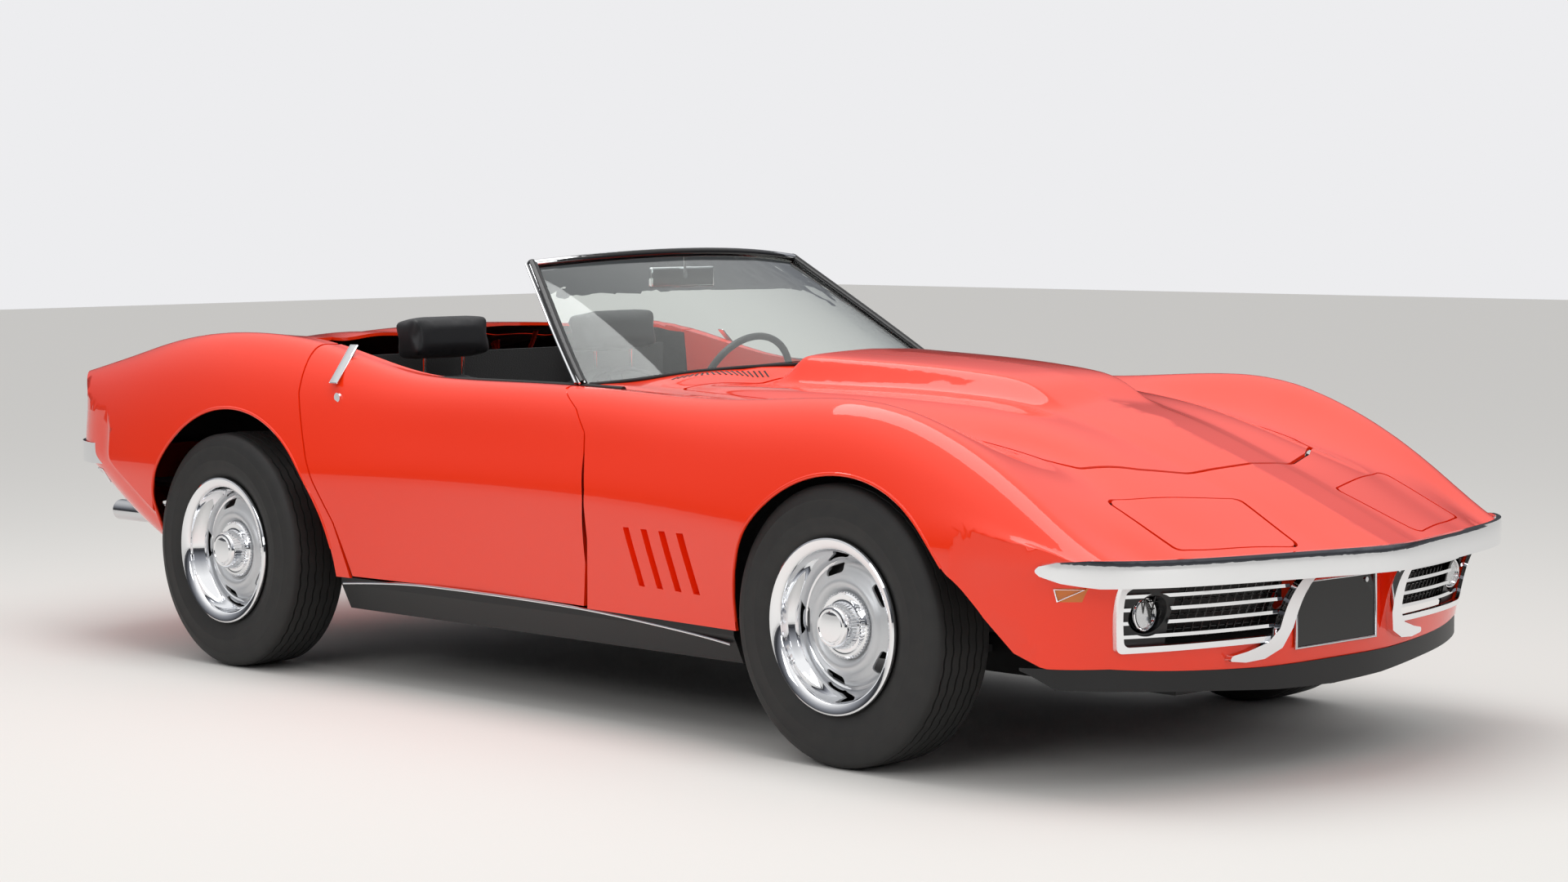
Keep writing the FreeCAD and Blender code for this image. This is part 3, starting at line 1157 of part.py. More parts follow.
def windscreen():
    """The screen's frame and its curved glass."""
    radius = size("pillar_width") / 2
    top = size("header_height")
    corner, base = (-208, 492, top - 27), (205, 668, 858)
    header = [(x, y, top - 0.000112 * y * y) for x, y in HEADER]
    across = header + [(x, -y, z) for x, y, z in header[-2::-1]]
    bar = swept(across, radius * 0.85)
    pillar_line = [base, (70, 615, 958), (-70, 553, 1062), corner]
    pillar = swept(pillar_line, radius)
    knob = Part.makeSphere(radius, Vector(*corner))
    frame = joined([bar, pillar, mirrored(pillar), knob, mirrored(knob)])
    for below in (outer.translated(Vector(0, 0, SEAT)), left_door.translated(Vector(0, 0, GAP))):
        frame = one_solid(frame.cut(below).cut(mirrored(below)))
    solid_node("windscreen_frame", frame)
    low = [(205, 655, 852), (290, 575, 868), (352, 450, 882), (405, 300, 896), (436, 150, 904), (446, 0, 908)]
    high = [(-206, 486, top - 30), (-185, 425, top - 24), (-160, 350, top - 18), (-132, 240, top - 10),
            (-112, 120, top - 6), (-106, 0, top - 4)]
    rows = []
    for share in (0.0, 0.33, 0.67, 1.0):
        half = [tuple(a + share * (b - a) for a, b in zip(p, q)) for p, q in zip(low, high)]
        bow = 14 * math.sin(math.pi * share)
        half = [(x + bow, y, z) for x, y, z in half]
        rows.append([Vector(*p) for p in half] + [Vector(x, -y, z) for x, y, z in half[-2::-1]])
    glass = outward(sheet_of(rows, [0, 1, 2, 3]).extrude(Vector(-size("glass_thickness"), 0, 0)))
    seat = size("seating_gap")
    posts = swept(pillar_line, radius + seat)
    ends = Part.makeSphere(radius + seat, Vector(*corner))
    for cutter in (swept(across, radius * 0.85 + seat), posts, mirrored(posts), ends, mirrored(ends)):
        glass = one_solid(glass.cut(cutter))
    solid_node("windscreen", glass)


def plan_band(profile, inset, thick, z0, z1, y0, y1):
    """A band along a plan outline, between two heights and two half widths: the left half."""
    lines = []
    for shift in (-inset, -inset - thick):
        line = Part.BSplineCurve()
        line.interpolate([Vector(x + shift, y, z0) for x, y in profile])
        lines.append(line.toShape())
    front, back = lines
    ends = [Part.makeLine(front.valueAt(p), back.valueAt(p)) for p in (front.FirstParameter, front.LastParameter)]
    face = Part.Face(Part.Wire(Part.__sortEdges__([front, back, *ends])))
    return outward(face.extrude(Vector(0, 0, z1 - z0))).common(block(-3000, 3000, y0, y1, z0 - 1, z1 + 1))


def front_bumper():
    """The upright blade round the nose, seated on the nose face."""
    top, low, count = 542, 542 - size("bumper_height"), len(NOSE_PLAN)
    rounded_face = [(1200, 0), (560, 0), (top + 2, 0.03), (top - 8, 0.0), (low + 10, 0.0), (low - 2, 0.05), (20, 0.05)]
    side = [(2500, top), (2040, top), (1975, top - 6), (1936, top - 16), (1924, top - 27), (1938, low + 24),
            (1985, low + 10), (2060, low), (2500, low)]
    blade = end_cutter(upright(NOSE_LEVELS, 0.0), nose_point, count, size("bumper_depth"), 1500).common(
        prism_y(side, 0, 900, 8))
    half = blade.cut(end_cutter(rounded_face, nose_point, count, 0, 1500))
    solid_node("front_bumper", whole(one_solid(half)))


def rear_bumpers():
    """The two rear corner bumpers, seated on the tail face."""
    count = len(TAIL_PLAN)
    blade = end_cutter(TAIL_LEVELS, tail_point, count, -size("seating_gap"), -2500).common(
        block(-3000, 0, 300, 806, 546, 546 + size("bumper_height")))
    solid_node("rear_bumpers", both_sides(one_solid(blade.cut(
        end_cutter(upright(TAIL_LEVELS, 4), tail_point, count, 0, -2500)))))


def nose_back(z):
    """How far the nose face lies behind its tip outline at a height, as a share of the low outline."""
    for (z1, a), (z0, b) in zip(NOSE_LEVELS, NOSE_LEVELS[1:]):
        if z >= z0:
            return a + (b - a) * (z1 - z) / (z1 - z0)
    return NOSE_LEVELS[-1][1]


def nose_plan(z):
    share = nose_back(z)
    return [nose_point(i, share, size("bumper_depth") + size("seating_gap")) for i in range(len(NOSE_PLAN))]


def front_end():
    """Grille frames and bars, parking lamps, side markers, plate and chin spoiler."""
    proud = proud_of_nose(11)
    rim = one_solid(proud.common(grille_prism(-13)).cut(grille_prism(1)))
    foot = [(176, 482), (212, 482), (226, 400), (232, 352), (262, 322), (318, 306), (362, 298), (366, 286),
            (318, 280), (262, 284), (212, 306), (190, 352), (184, 400)]
    bar = one_solid(proud_of_nose(19).common(prism([Vector(1700, y, z) for y, z in foot], Vector(800, 0, 0), 9)))
    solid_node("grille_frames", both_sides(one_solid(rim.fuse(bar))))
    lamp_y, lamp_z, radius = 582, 408, size("parking_lamp_radius")
    count = int(size("bar_count"))
    bars = []
    for i in range(count):
        z = 343 + (i + 0.5) * 125 / count
        bars.append(plan_band(nose_plan(z), 5, 4, z - 4, z + 4, 150, 720).common(grille_prism(SEAT)))
    hole = Part.makeCylinder(radius + 14, 600, Vector(1800, lamp_y, lamp_z), Vector(1, 0, 0))
    solid_node("grille_bars", both_sides(Part.makeCompound([p for b in bars for p in b.cut(hole).Solids])))
    # each lamp sits in a bucket, whose flange lies against the back of the nose skin
    face = NOSE - 292
    behind = inside.translated(Vector(-SEAT, 0, 0))
    flange = block(1800, 2300, lamp_y - 54, 700, 325, 488).common(behind).cut(inside.translated(Vector(-5, 0, 0)))
    shell, room, lamp = [
        Part.makeCylinder(r, stop - start, Vector(start, lamp_y, lamp_z), Vector(1, 0, 0))
        for r, start, stop in ((radius + 12, face - 66, 2300), (radius + 8, face - 58, 2300),
                               (radius, face - 62, face))]
    bucket = one_solid(joined([one_solid(flange), one_solid(shell.common(behind))]).cut(room))
    solid_node("parking_lamps", both_sides(joined([bucket, lamp])))
    solid_node("front_markers", both_sides(one_solid(walls.common(prism_y(FRONT_MARKER, MARKER_Y, 1000, 5)))))
    # the chin spoiler is a thin upright blade seated under the valance's lower edge
    count, levels, depth = len(NOSE_PLAN), upright(NOSE_LEVELS, 1.1), size("bumper_depth") + 1
    blade = end_cutter(levels, nose_point, count, depth + 8, 1500).cut(
        end_cutter(levels, nose_point, count, depth, 1500))
    outline = [(-10, 330), (795, 330), (795, 284), (752, 242), (600, 232), (400, 220), (200, 206), (-10, 200)]
    blade = blade.common(prism([Vector(1500, y, z) for y, z in outline], Vector(1000, 0, 0)))
    blade = blade.common(below_body(SEAT))
    solid_node("chin_spoiler", whole(one_solid(blade)))


def number_plate():
    made = body("number_plate")
    half = "plate_width / 2"
    pad(made, "YZ", "length / 2 - 192 + seating_gap", [[(f"-{half}", "plate_bottom"), (half, "plate_bottom"),
                                                        (half, "plate_bottom + plate_height"),
                                                        (f"-{half}", "plate_bottom + plate_height")]], "5")
    rounded(made, "12", lambda e: e.BoundBox.XLength > 4)
    keep("number_plate", made)


def tail_end():
    """Round tail lamps and the rear side markers, flush with the skin."""
    lenses = [one_solid(walls.common(Part.makeCylinder(size("tail_lamp_radius") - 1, 400,
                                                       Vector(TAIL - 100, y, TAIL_LAMP_HEIGHT), Vector(1, 0, 0))))
              for y in TAIL_LAMPS]
    solid_node("tail_lamps", Part.makeCompound(lenses + [mirrored(p) for p in lenses]))
    solid_node("rear_markers", both_sides(one_solid(walls.common(prism_y(REAR_MARKER, 600, 1000, 5)))))


def headlamps():
    """The pods under the lids: a housing against the lid, two round lamps that face forward when raised, and
    the goosenecks and shaft that they turn on."""
    below_lid = inside.translated(Vector(-0.1, 0, -SEAT))
    made = [one_solid(below_lid.common(prism_z(lid_plan(-34), 530, 1200, 17)))]
    facing = Rotation(LAMP_AXIS, -size("pod_travel")).multVec(Vector(1, 0, 0))
    for y in (-64, 56):
        made.append(at_lamp(gooseneck([(0, 0), (35, -53), (95, -34)], y, 5)))
    made.append(at_lamp(rod((0, 0), -LAMP_SPAN - ARM - 4, LAMP_SPAN + ARM + 4, 4)))
    room = inside.translated(Vector(-1, 0, -4))
    for x, y, z in ((NOSE - 295, 300, 512), (NOSE - 335, 440, 527)):
        lamp = Part.makeCylinder(size("lamp_radius"), 90, Vector(x, y, z) - facing * 70, facing)
        made.append(one_solid(lamp.common(room)))
    pod = joined(made)
    solid_node("headlamps_left", pod)
    solid_node("headlamps_right", mirrored(pod))


def mirror():
    made = body("interior_mirror", ("-125", "0", "0"))
    half = "mirror_width / 2"
    glass = [("-26", f"-{half}"), ("-14", f"-{half}"), ("-14", half), ("-26", half)]
    pad(made, "XY", "header_height - 98", [glass], "55")
    rounded(made, "18", lambda e: e.BoundBox.XLength > 10 and e.BoundBox.YLength < 1 and e.BoundBox.ZLength < 1)
    under_header = "header_height - 0.425 * pillar_width - seating_gap"
    pad(made, "YZ", "-15", [[("-9", "header_height - 75"), ("9", "header_height - 75"), ("9", under_header),
                             ("-9", under_header)]], "38")
    keep("interior_mirror", made)


front_end()
number_plate()
tail_end()
headlamps()
mirror()
knuckle("knuckle_right", -1)
knuckle("knuckle_left", 1)
front_suspension()
steering_linkage()
rear_suspension()
engine()
exhausts()
seats()
cabin()
windscreen()
front_bumper()
rear_bumpers()
chassis()
floor_tub()
rockers()
for end, axle, track in (("front", FRONT, "track_front / 2"), ("rear", REAR, "track_rear / 2")):
    for side, sign, turned in (("right", "-", 180), ("left", "", 0)):
        tyre(f"tyre_{end}_{side}", (axle, f"{sign}{track}", AXLE))
        wheel(f"wheel_{end}_{side}", (axle, f"{sign}{track}", AXLE), turned,
              "" if end == "front" else "track_rear / 2 - diff_half_width - hub_depth - 6")

os.makedirs("parts", exist_ok=True)
for label, made in nodes.items():
    made.Shape.exportStep(f"parts/{label}.step")
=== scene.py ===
"""An open two-seat muscle car in orange paint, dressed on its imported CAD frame."""
import math

import bmesh
import bpy
import numpy as np
from mathutils import Matrix, Vector
from mathutils.bvhtree import BVHTree
from mathutils.geometry import barycentric_transform


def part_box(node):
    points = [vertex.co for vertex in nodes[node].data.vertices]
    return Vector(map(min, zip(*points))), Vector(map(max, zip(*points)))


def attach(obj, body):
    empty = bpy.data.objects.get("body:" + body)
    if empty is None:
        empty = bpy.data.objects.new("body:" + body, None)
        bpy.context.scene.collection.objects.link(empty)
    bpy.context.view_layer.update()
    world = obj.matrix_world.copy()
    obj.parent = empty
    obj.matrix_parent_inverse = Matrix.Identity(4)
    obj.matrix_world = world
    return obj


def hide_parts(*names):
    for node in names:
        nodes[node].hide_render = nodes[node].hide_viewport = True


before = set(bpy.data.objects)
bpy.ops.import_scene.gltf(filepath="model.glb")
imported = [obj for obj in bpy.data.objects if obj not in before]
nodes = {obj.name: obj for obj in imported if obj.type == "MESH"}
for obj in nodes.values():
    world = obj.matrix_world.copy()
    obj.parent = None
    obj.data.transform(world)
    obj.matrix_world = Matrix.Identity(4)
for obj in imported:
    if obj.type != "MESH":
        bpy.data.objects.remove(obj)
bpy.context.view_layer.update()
# Places below are in millimetres, and this brings them to metres
MM = 0.001


# Camera
def look_from(place, yaw, pitch, roll, focal):
    """The camera at the photograph's viewing angle."""
    yaw, pitch, roll = (math.radians(a) for a in (yaw, pitch, roll))
    ahead = Vector((math.cos(pitch) * math.cos(yaw), math.cos(pitch) * math.sin(yaw), math.sin(pitch)))
    right = ahead.cross(Vector((0, 0, 1))).normalized()
    up = right.cross(ahead)
    across = right * math.cos(roll) + up * math.sin(roll)
    above = up * math.cos(roll) - right * math.sin(roll)
    turned = Matrix((across, above, -ahead)).transposed().to_4x4()
    data = bpy.data.cameras.new("camera")
    data.lens, data.sensor_width = focal, 36
    data.clip_end = 200
    camera = bpy.data.objects.new("camera", data)
    bpy.context.collection.objects.link(camera)
    camera.matrix_world = Matrix.Translation(place) @ turned
    bpy.context.scene.camera = camera


look_from(place=(6.839, -6.276, 1.341), yaw=136.325, pitch=-4.175, roll=-0.306, focal=76.51)


# Materials
def linear(code):
    """An sRGB hex value as the linear colour that a shader socket takes."""
    parts = [int(code[i : i + 2], 16) / 255 for i in (0, 2, 4)]
    return (*(c / 12.92 if c <= 0.04045 else ((c + 0.055) / 1.055) ** 2.4 for c in parts), 1.0)


def node(tree, kind, inputs=None, **settings):
    """Adds one shader node, with its settings, and fills or links its inputs."""
    made = tree.nodes.new("ShaderNode" + kind)
    for name, value in settings.items():
        setattr(made, name, value)
    for name, value in (inputs or {}).items():
        if isinstance(value, bpy.types.NodeSocket):
            tree.links.new(value, made.inputs[name])
        else:
            made.inputs[name].default_value = value
    return made


def surface(name, **sockets):
    """A material with one principled surface. Underscores in a socket's name stand for spaces."""
    material = bpy.data.materials.new(name)
    material.use_nodes = True
    tree = material.node_tree
    tree.nodes.clear()
    shader = node(tree, "BsdfPrincipled", {key.replace("_", " "): value for key, value in sockets.items()})
    node(tree, "OutputMaterial", {"Surface": shader.outputs[0]})
    return material, tree, shader


def pattern(tree, size_mm, detail, kind="TexNoise", **settings):
    """A pattern on Object coordinates, with its grain in millimetres."""
    place = node(tree, "TexCoord").outputs["Object"]
    inputs = {"Vector": place, "Scale": 1000 / size_mm, "Detail": detail}
    return node(tree, kind, inputs, **settings).outputs[0]


def grain(tree, shader, size_mm, depth_mm, kind="TexNoise", detail=2.0, **settings):
    """Links a fine bump, its grain and depth in millimetres."""
    height = pattern(tree, size_mm, detail, kind, **settings)
    bump = node(tree, "Bump", {"Height": height, "Strength": 1.0, "Distance": depth_mm / 1000})
    tree.links.new(bump.outputs[0], shader.inputs["Normal"])


def body_paint():
    # Two-stage car enamel: a saturated solid orange under clear lacquer, so the eye sees a deep colour
    # with sharp reflections on it, and a very slight orange peel in them.
    material, tree, shader = surface("orange enamel", Base_Color=linear("FF3300"), Roughness=0.5,
                                     Specular_IOR_Level=0.2, Coat_Weight=1.0, Coat_Roughness=0.035,
                                     Coat_IOR=1.5)
    bump = node(tree, "Bump", {"Height": pattern(tree, 9, 1.0), "Strength": 0.05, "Distance": 0.0003})
    tree.links.new(bump.outputs[0], shader.inputs["Coat Normal"])
    return material


def chrome(name, code, roughness):
    # Plated steel: polished, with faint cloudiness where hands and polish went over it.
    material, tree, shader = surface(name, Base_Color=linear(code), Metallic=1.0, Roughness=roughness)
    spread = node(tree, "MapRange", {"Value": pattern(tree, 60, 3.0), "To Min": roughness * 0.7,
                                     "To Max": roughness * 1.6})
    tree.links.new(spread.outputs[0], shader.inputs["Roughness"])
    return material


def silver_enamel():
    # Wheel paint: fine metal flake under lacquer, so the disc is pale grey and softer than the chrome.
    material, tree, shader = surface("silver wheel enamel", Base_Color=linear("D2D4D6"), Metallic=0.45,
                                     Roughness=0.38, Coat_Weight=0.4, Coat_Roughness=0.15)
    grain(tree, shader, 0.8, 0.04)
    return material


def black_vinyl():
    # Embossed seat vinyl: soft sheen over a fine hide grain about 2 mm across.
    material, tree, shader = surface("black seat vinyl", Base_Color=linear("17171A"), Roughness=0.46, IOR=1.5,
                                     Sheen_Weight=0.08, Sheen_Roughness=0.5)
    grain(tree, shader, 2.4, 0.16, "TexVoronoi", feature="DISTANCE_TO_EDGE")
    return material


def moulded_black(name, code, roughness, size_mm=3.0, depth_mm=0.1):
    # Moulded or painted black trim: an even satin with a fine pebble in it.
    material, tree, shader = surface(name, Base_Color=linear(code), Roughness=roughness, IOR=1.5)
    grain(tree, shader, size_mm, depth_mm)
    return material


def tyre_rubber():
    # Vulcanised rubber: dull dark grey, slightly dusty in broad patches.
    material, tree, shader = surface("tyre rubber", Base_Color=linear("1E1E1F"), Roughness=0.62, IOR=1.52)
    colour = node(tree, "ValToRGB", {"Fac": pattern(tree, 45, 4.0)})
    colour.color_ramp.elements[0].color = linear("19191A")
    colour.color_ramp.elements[1].color = linear("2A2927")
    tree.links.new(colour.outputs[0], shader.inputs["Base Color"])
    return material


def clear_glass(name, code):
    # Polished glass: clear all through, so the eye sees what is behind it and a sharp reflection on its face.
    return surface(name, Base_Color=linear(code), Transmission_Weight=1.0, Roughness=0.0, IOR=1.45)[0]


def lens_plastic(name, code):
    # Moulded acrylic lens: a strong colour all through, slightly see-through, with a gloss on its face.
    return surface(name, Base_Color=linear(code), Roughness=0.12, IOR=1.49, Transmission_Weight=0.25,
                   Coat_Weight=0.6, Coat_Roughness=0.03)[0]


def carpet():
    # Loop-pile carpet: dark, no gloss, tufts about 4 mm.
    material, tree, shader = surface("black carpet", Base_Color=linear("121213"), Roughness=0.95,
                                     Sheen_Weight=0.25, Sheen_Roughness=0.6)
    grain(tree, shader, 4.0, 1.2, detail=3.0)
    return material


paint = body_paint()
bright = chrome("chrome plate", "F2F3F5", 0.035)
stainless = chrome("polished stainless trim", "D8D9DB", 0.09)
dark_chrome = chrome("shaded chrome plate", "B9BBC0", 0.06)
vinyl = black_vinyl()
wheel_silver = silver_enamel()
# Satin black is real black trim and lining, and also the painted shade of the sheet behind the grille
satin_black_and_grille_shade = moulded_black("satin black trim and grille shade", "141415", 0.42)
# Gloss black is real black enamel and moulding, and also the painted shade of the cowl vent openings
gloss_black_and_vent_shade = moulded_black("gloss black enamel and vent shade", "0B0B0C", 0.12, 8.0, 0.01)
chassis_black = moulded_black("chassis paint", "161617", 0.55, 5.0, 0.2)
rubber_seal = moulded_black("extruded rubber seal", "101011", 0.6, 2.0, 0.05)
rubber = tyre_rubber()
floor_carpet = carpet()
cast_iron = moulded_black("cast grey iron", "4A4B4D", 0.6, 2.5, 0.25)
screen_glass = clear_glass("laminated screen glass", "F3FAF7")
lamp_glass = clear_glass("clear lamp glass", "FFFFFF")
amber = lens_plastic("amber lamp lens", "F08010")
red_lens = lens_plastic("red lamp lens", "B00D10")

# The body's own smooth surface
# The painted panels are curved in one flow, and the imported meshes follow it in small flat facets. The part's
# body lines are repeated here, in millimetres, so that every panel is shaded by the true surface under it.
HALF_WIDTH, NOSE, TAIL, SILL_LINE = 876.5, 2318.0, -2318.0, 297
# How far the nose is set back, to leave room for the bumper
NOSE_SETBACK = 16.3


def fair(points):
    """A natural cubic spline through (station, value) pairs, as a function."""
    points = sorted(points)
    x = [p[0] for p in points]
    y = [p[1] for p in points]
    n = len(x)
    low, diagonal, high, right = [0.0] * n, [1.0] * n, [0.0] * n, [0.0] * n
    for i in range(1, n - 1):
        a, b = x[i] - x[i - 1], x[i + 1] - x[i]
        low[i], diagonal[i], high[i] = a, 2 * (a + b), b
        right[i] = 6 * ((y[i + 1] - y[i]) / b - (y[i] - y[i - 1]) / a)
    for i in range(1, n):
        w = low[i] / diagonal[i - 1]
        diagonal[i] -= w * high[i - 1]
        right[i] -= w * right[i - 1]
    bend = [0.0] * n
    for i in range(n - 2, 0, -1):
        bend[i] = (right[i] - high[i] * bend[i + 1]) / diagonal[i]

    def value(at):
        i = max([k for k in range(n - 1) if x[k] <= at] or [0])
        d = x[i + 1] - x[i]
        p, q = (x[i + 1] - at) / d, (at - x[i]) / d
        bent = (p**3 - p) * bend[i] + (q**3 - q) * bend[i + 1]
        return p * y[i] + q * y[i + 1] + bent * d * d / 6

    return value


# Heights of the centreline of the bonnet, cowl and deck
centre_z = fair([(2450, 470), (2318, 527), (2200, 574), (1987, 664), (1880, 704), (1730, 758), (1600, 800),
                 (1430, 838), (1200, 862), (900, 872), (700, 871), (540, 869), (490, 874), (440, 904),
                 (400, 914), (300, 916), (100, 918), (-400, 940), (-950, 974), (-1200, 966), (-1500, 926),
                 (-1750, 877), (-2000, 838), (-2150, 828), (-2260, 836), (-2450, 862)])
# Raised middle of the bonnet: how far its shoulder stands above the flat beside it
tier_z = fair([(2450, 0), (2200, 0), (1990, 2), (1850, 8), (1730, 22), (1430, 38), (900, 26), (500, 14),
               (200, 6), (-950, 8), (-1500, 4), (-2450, 0)])
# Valley between the bonnet or deck and the fender
valley_y = fair([(2450, 500), (2100, 520), (1870, 530), (1730, 500), (1300, 560), (900, 600), (500, 625),
                 (0, 640), (-600, 640), (-950, 600), (-1300, 580), (-2000, 560), (-2450, 540)])
valley_z = fair([(2450, 440), (2318, 478), (2100, 553), (1870, 652), (1730, 700), (1500, 752), (1300, 780),
                 (900, 824), (500, 850), (200, 862), (-450, 872), (-700, 915), (-950, 948), (-1200, 940),
                 (-1500, 897), (-1750, 850), (-2000, 815), (-2200, 806), (-2450, 800)])
# Crown of the fenders
crown_inset = fair([(2450, 235), (2100, 175), (1954, 150), (1700, 135), (1300, 128), (900, 140), (380, 160),
                    (-200, 172), (-600, 165), (-950, 150), (-1200, 140), (-1600, 150), (-2000, 175),
                    (-2450, 200)])
crown_z = fair([(2450, 425), (2318, 450), (2150, 500), (2023, 556), (1954, 597), (1854, 664), (1700, 752),
                (1544, 817), (1384, 856), (1219, 866), (1050, 858), (850, 846), (600, 845), (350, 852),
                (0, 855), (-300, 853), (-470, 860), (-650, 888), (-850, 930), (-1080, 956), (-1289, 958),
                (-1500, 941), (-1675, 912), (-1855, 873), (-1970, 850), (-2110, 822), (-2450, 760)])
# Widest line of the side, which is a soft crease
widest_inset = fair([(2450, 190), (2200, 120), (2050, 78), (1900, 42), (1600, 8), (1308, 0), (1000, 16),
                     (700, 42), (380, 62), (0, 78), (-300, 80), (-600, 62), (-870, 28), (-1181, 0),
                     (-1500, 4), (-1800, 26), (-2050, 66), (-2200, 100), (-2450, 170)])
widest_z = fair([(2450, 350), (2000, 500), (1308, 540), (700, 566), (0, 576), (-870, 566), (-1500, 555),
                 (-2450, 545)])
# How far the side turns in at the sill
sill_inset = fair([(2450, 250), (2000, 135), (1700, 70), (1308, 62), (900, 82), (380, 112), (-300, 122),
                   (-870, 92), (-1181, 66), (-1500, 66), (-1900, 125), (-2450, 290)])
# Bonnet dome: height above the bonnet and half width of its flat top
dome_height = fair([(2450, 0), (1700, 0), (1445, 0), (1420, 5), (1380, 22), (1335, 38), (1290, 46),
                    (1180, 52), (900, 60), (500, 72), (200, 72), (-2450, 72)])
DOME_FRONT, DOME_REAR = 1445, (503, 587)
dome_y = fair([(2450, 130), (1430, 165), (1200, 185), (900, 212), (500, 245), (-2450, 260)])
DOME_SLOPE = 48
SIDE_FLOOR = 100

STATIONS = [2450, 2390, 2318, 2250, 2180, 2100, 2020, 1940, 1860, 1780, 1700, 1620, 1540, 1480, 1450, 1430,
            1400, 1360, 1320, 1280, 1230, 1140, 1050, 950, 850, 740, 660, 615, 590, 575, 545, 515, 500, 485,
            460, 430, 400, 340, 240, 100, -60, -220, -380, -500, -620, -740, -860, -980, -1100, -1220, -1340,
            -1460, -1580, -1700, -1820, -1940, -2050, -2150, -2240, -2318, -2380, -2450]


def dome_on(x):
    """The dome's height: it ends in a slanted face above the bonnet's rear edge."""
    if not DOME_REAR[0] < x < DOME_FRONT:
        return 0.0
    return max(0.0, dome_height(x)) * min(1.0, (x - DOME_REAR[0]) / (DOME_REAR[1] - DOME_REAR[0]))


def ridge_on(x):
    """How far the bonnet's middle falls away beside its centre ridge."""
    return 3 + 7 * min(1.0, max(0.0, (x - 1300) / 200))


def half_section(x, dome):
    """Control points of one half of a cross section, from the centreline down to the floor line."""
    widest = HALF_WIDTH - widest_inset(x)
    crown = HALF_WIDTH - crown_inset(x)
    sill = HALF_WIDTH - sill_inset(x)
    rise = dome_on(x) if dome else 0.0
    middle, tier = centre_z(x), tier_z(x)
    vy, vz = valley_y(x), valley_z(x)
    wz, cz = widest_z(x), crown_z(x)
    top, ridge = dome_y(x), ridge_on(x)
    flat = vz + tier + 0.35 * (middle - vz - tier)
    return [
        (0.0, middle + rise),
        (0.55 * top, middle - ridge + rise),
        (top - 14, middle - 6 - ridge + rise),
        (top, middle - 9 - ridge + 0.94 * rise),
        (top + DOME_SLOPE - 10, middle - 15 - ridge + 0.08 * rise),
        (top + DOME_SLOPE + 6, middle - 17 - ridge),
        (0.45 * (top + DOME_SLOPE) + 0.55 * vy - 10, flat),
        (vy - 60, vz + 3),
        (vy, vz),
        (0.5 * (vy + crown - 60), 0.55 * vz + 0.45 * cz),
        (crown - 50, cz - 2),
        (crown + 6, cz + 8),
        (crown + 0.55 * (widest - crown), cz - 0.20 * (cz - wz)),
        (widest - 22, wz + 0.46 * (cz - wz)),
        (widest - 4, wz + 60),
        (widest + 4, wz + 10),
        (widest, wz - 26),
        (0.5 * (widest + sill) + 8, 0.5 * (wz + SILL_LINE)),
        (sill, SILL_LINE - 20),
        (sill - 20, SIDE_FLOOR),
    ]


# Nose and tail faces: plan outlines at several heights, as (half width, set back from the tip)
NOSE_PLAN = [(0, 0), (60, 3), (230, 46), (500, 112), (650, 170), (745, 235), (800, 315), (835, 420),
             (850, 560), (860, 700)]
NOSE_LOW = [(0, 162), (60, 162), (230, 172), (500, 226), (650, 286), (745, 342), (790, 408), (815, 480),
            (835, 590), (850, 700)]
TAIL_PLAN = [(0, 0), (60, 0), (250, 14), (480, 60), (620, 112), (700, 165), (760, 235), (800, 330),
             (820, 450), (840, 600)]
# Height and share of the way from the tip outline to the low outline
NOSE_LEVELS = [(1200, 0.0), (800, 0.0), (620, 0.0), (556, 0.0), (540, 0.0), (524, 0.05), (505, 0.28),
               (480, 0.56), (430, 0.80), (380, 0.92), (330, 1.0), (280, 1.10), (200, 1.22), (20, 1.5)]
# Height and set back of the tail face
TAIL_LEVELS = [(1200, 10), (900, 2), (850, 0), (838, 3), (822, 24), (780, 38), (700, 34), (640, 24),
               (595, 20), (570, 24), (552, 50), (500, 140), (440, 235), (380, 350), (330, 470), (200, 770),
               (20, 1190)]
# How far past the corner the nose and tail faces run on along the body's side
FACE_OVERRUN = 400


def nose_half(share):
    """The nose's outline from the middle out, a share of the way from its tip outline to its low one."""
    return [(NOSE - NOSE_SETBACK - (back + share * (low_back - back)), y + share * (low_y - y))
            for (y, back), (low_y, low_back) in zip(NOSE_PLAN, NOSE_LOW)]


def tail_half(back):
    """The tail's outline from the middle to the corner, set back from its tip."""
    return [(TAIL + plan_back + back, y) for y, plan_back in TAIL_PLAN]


def weights(places, fine, degree=3):
    """Each fine place's share of every control point, for a clamped spline."""
    inner = [sum(places[i : i + degree]) / degree for i in range(1, len(places) - degree)]
    knots = np.array([places[0]] * (degree + 1) + inner + [places[-1]] * (degree + 1), float)
    at = np.clip(fine, places[0] + 1e-6, places[-1] - 1e-6)
    share = ((knots[:-1] <= at[:, None]) & (at[:, None] < knots[1:])).astype(float)
    for d in range(1, degree + 1):
        a, b = knots[:-d - 1], knots[d:-1]
        c, e = knots[1:-d], knots[d + 1:]
        with np.errstate(divide="ignore", invalid="ignore"):
            up = np.where(b > a, (at[:, None] - a) / (b - a), 0.0)
            down = np.where(e > c, (e - at[:, None]) / (e - c), 0.0)
        share = up * share[:, :-1] + down * share[:, 1:]
    return share


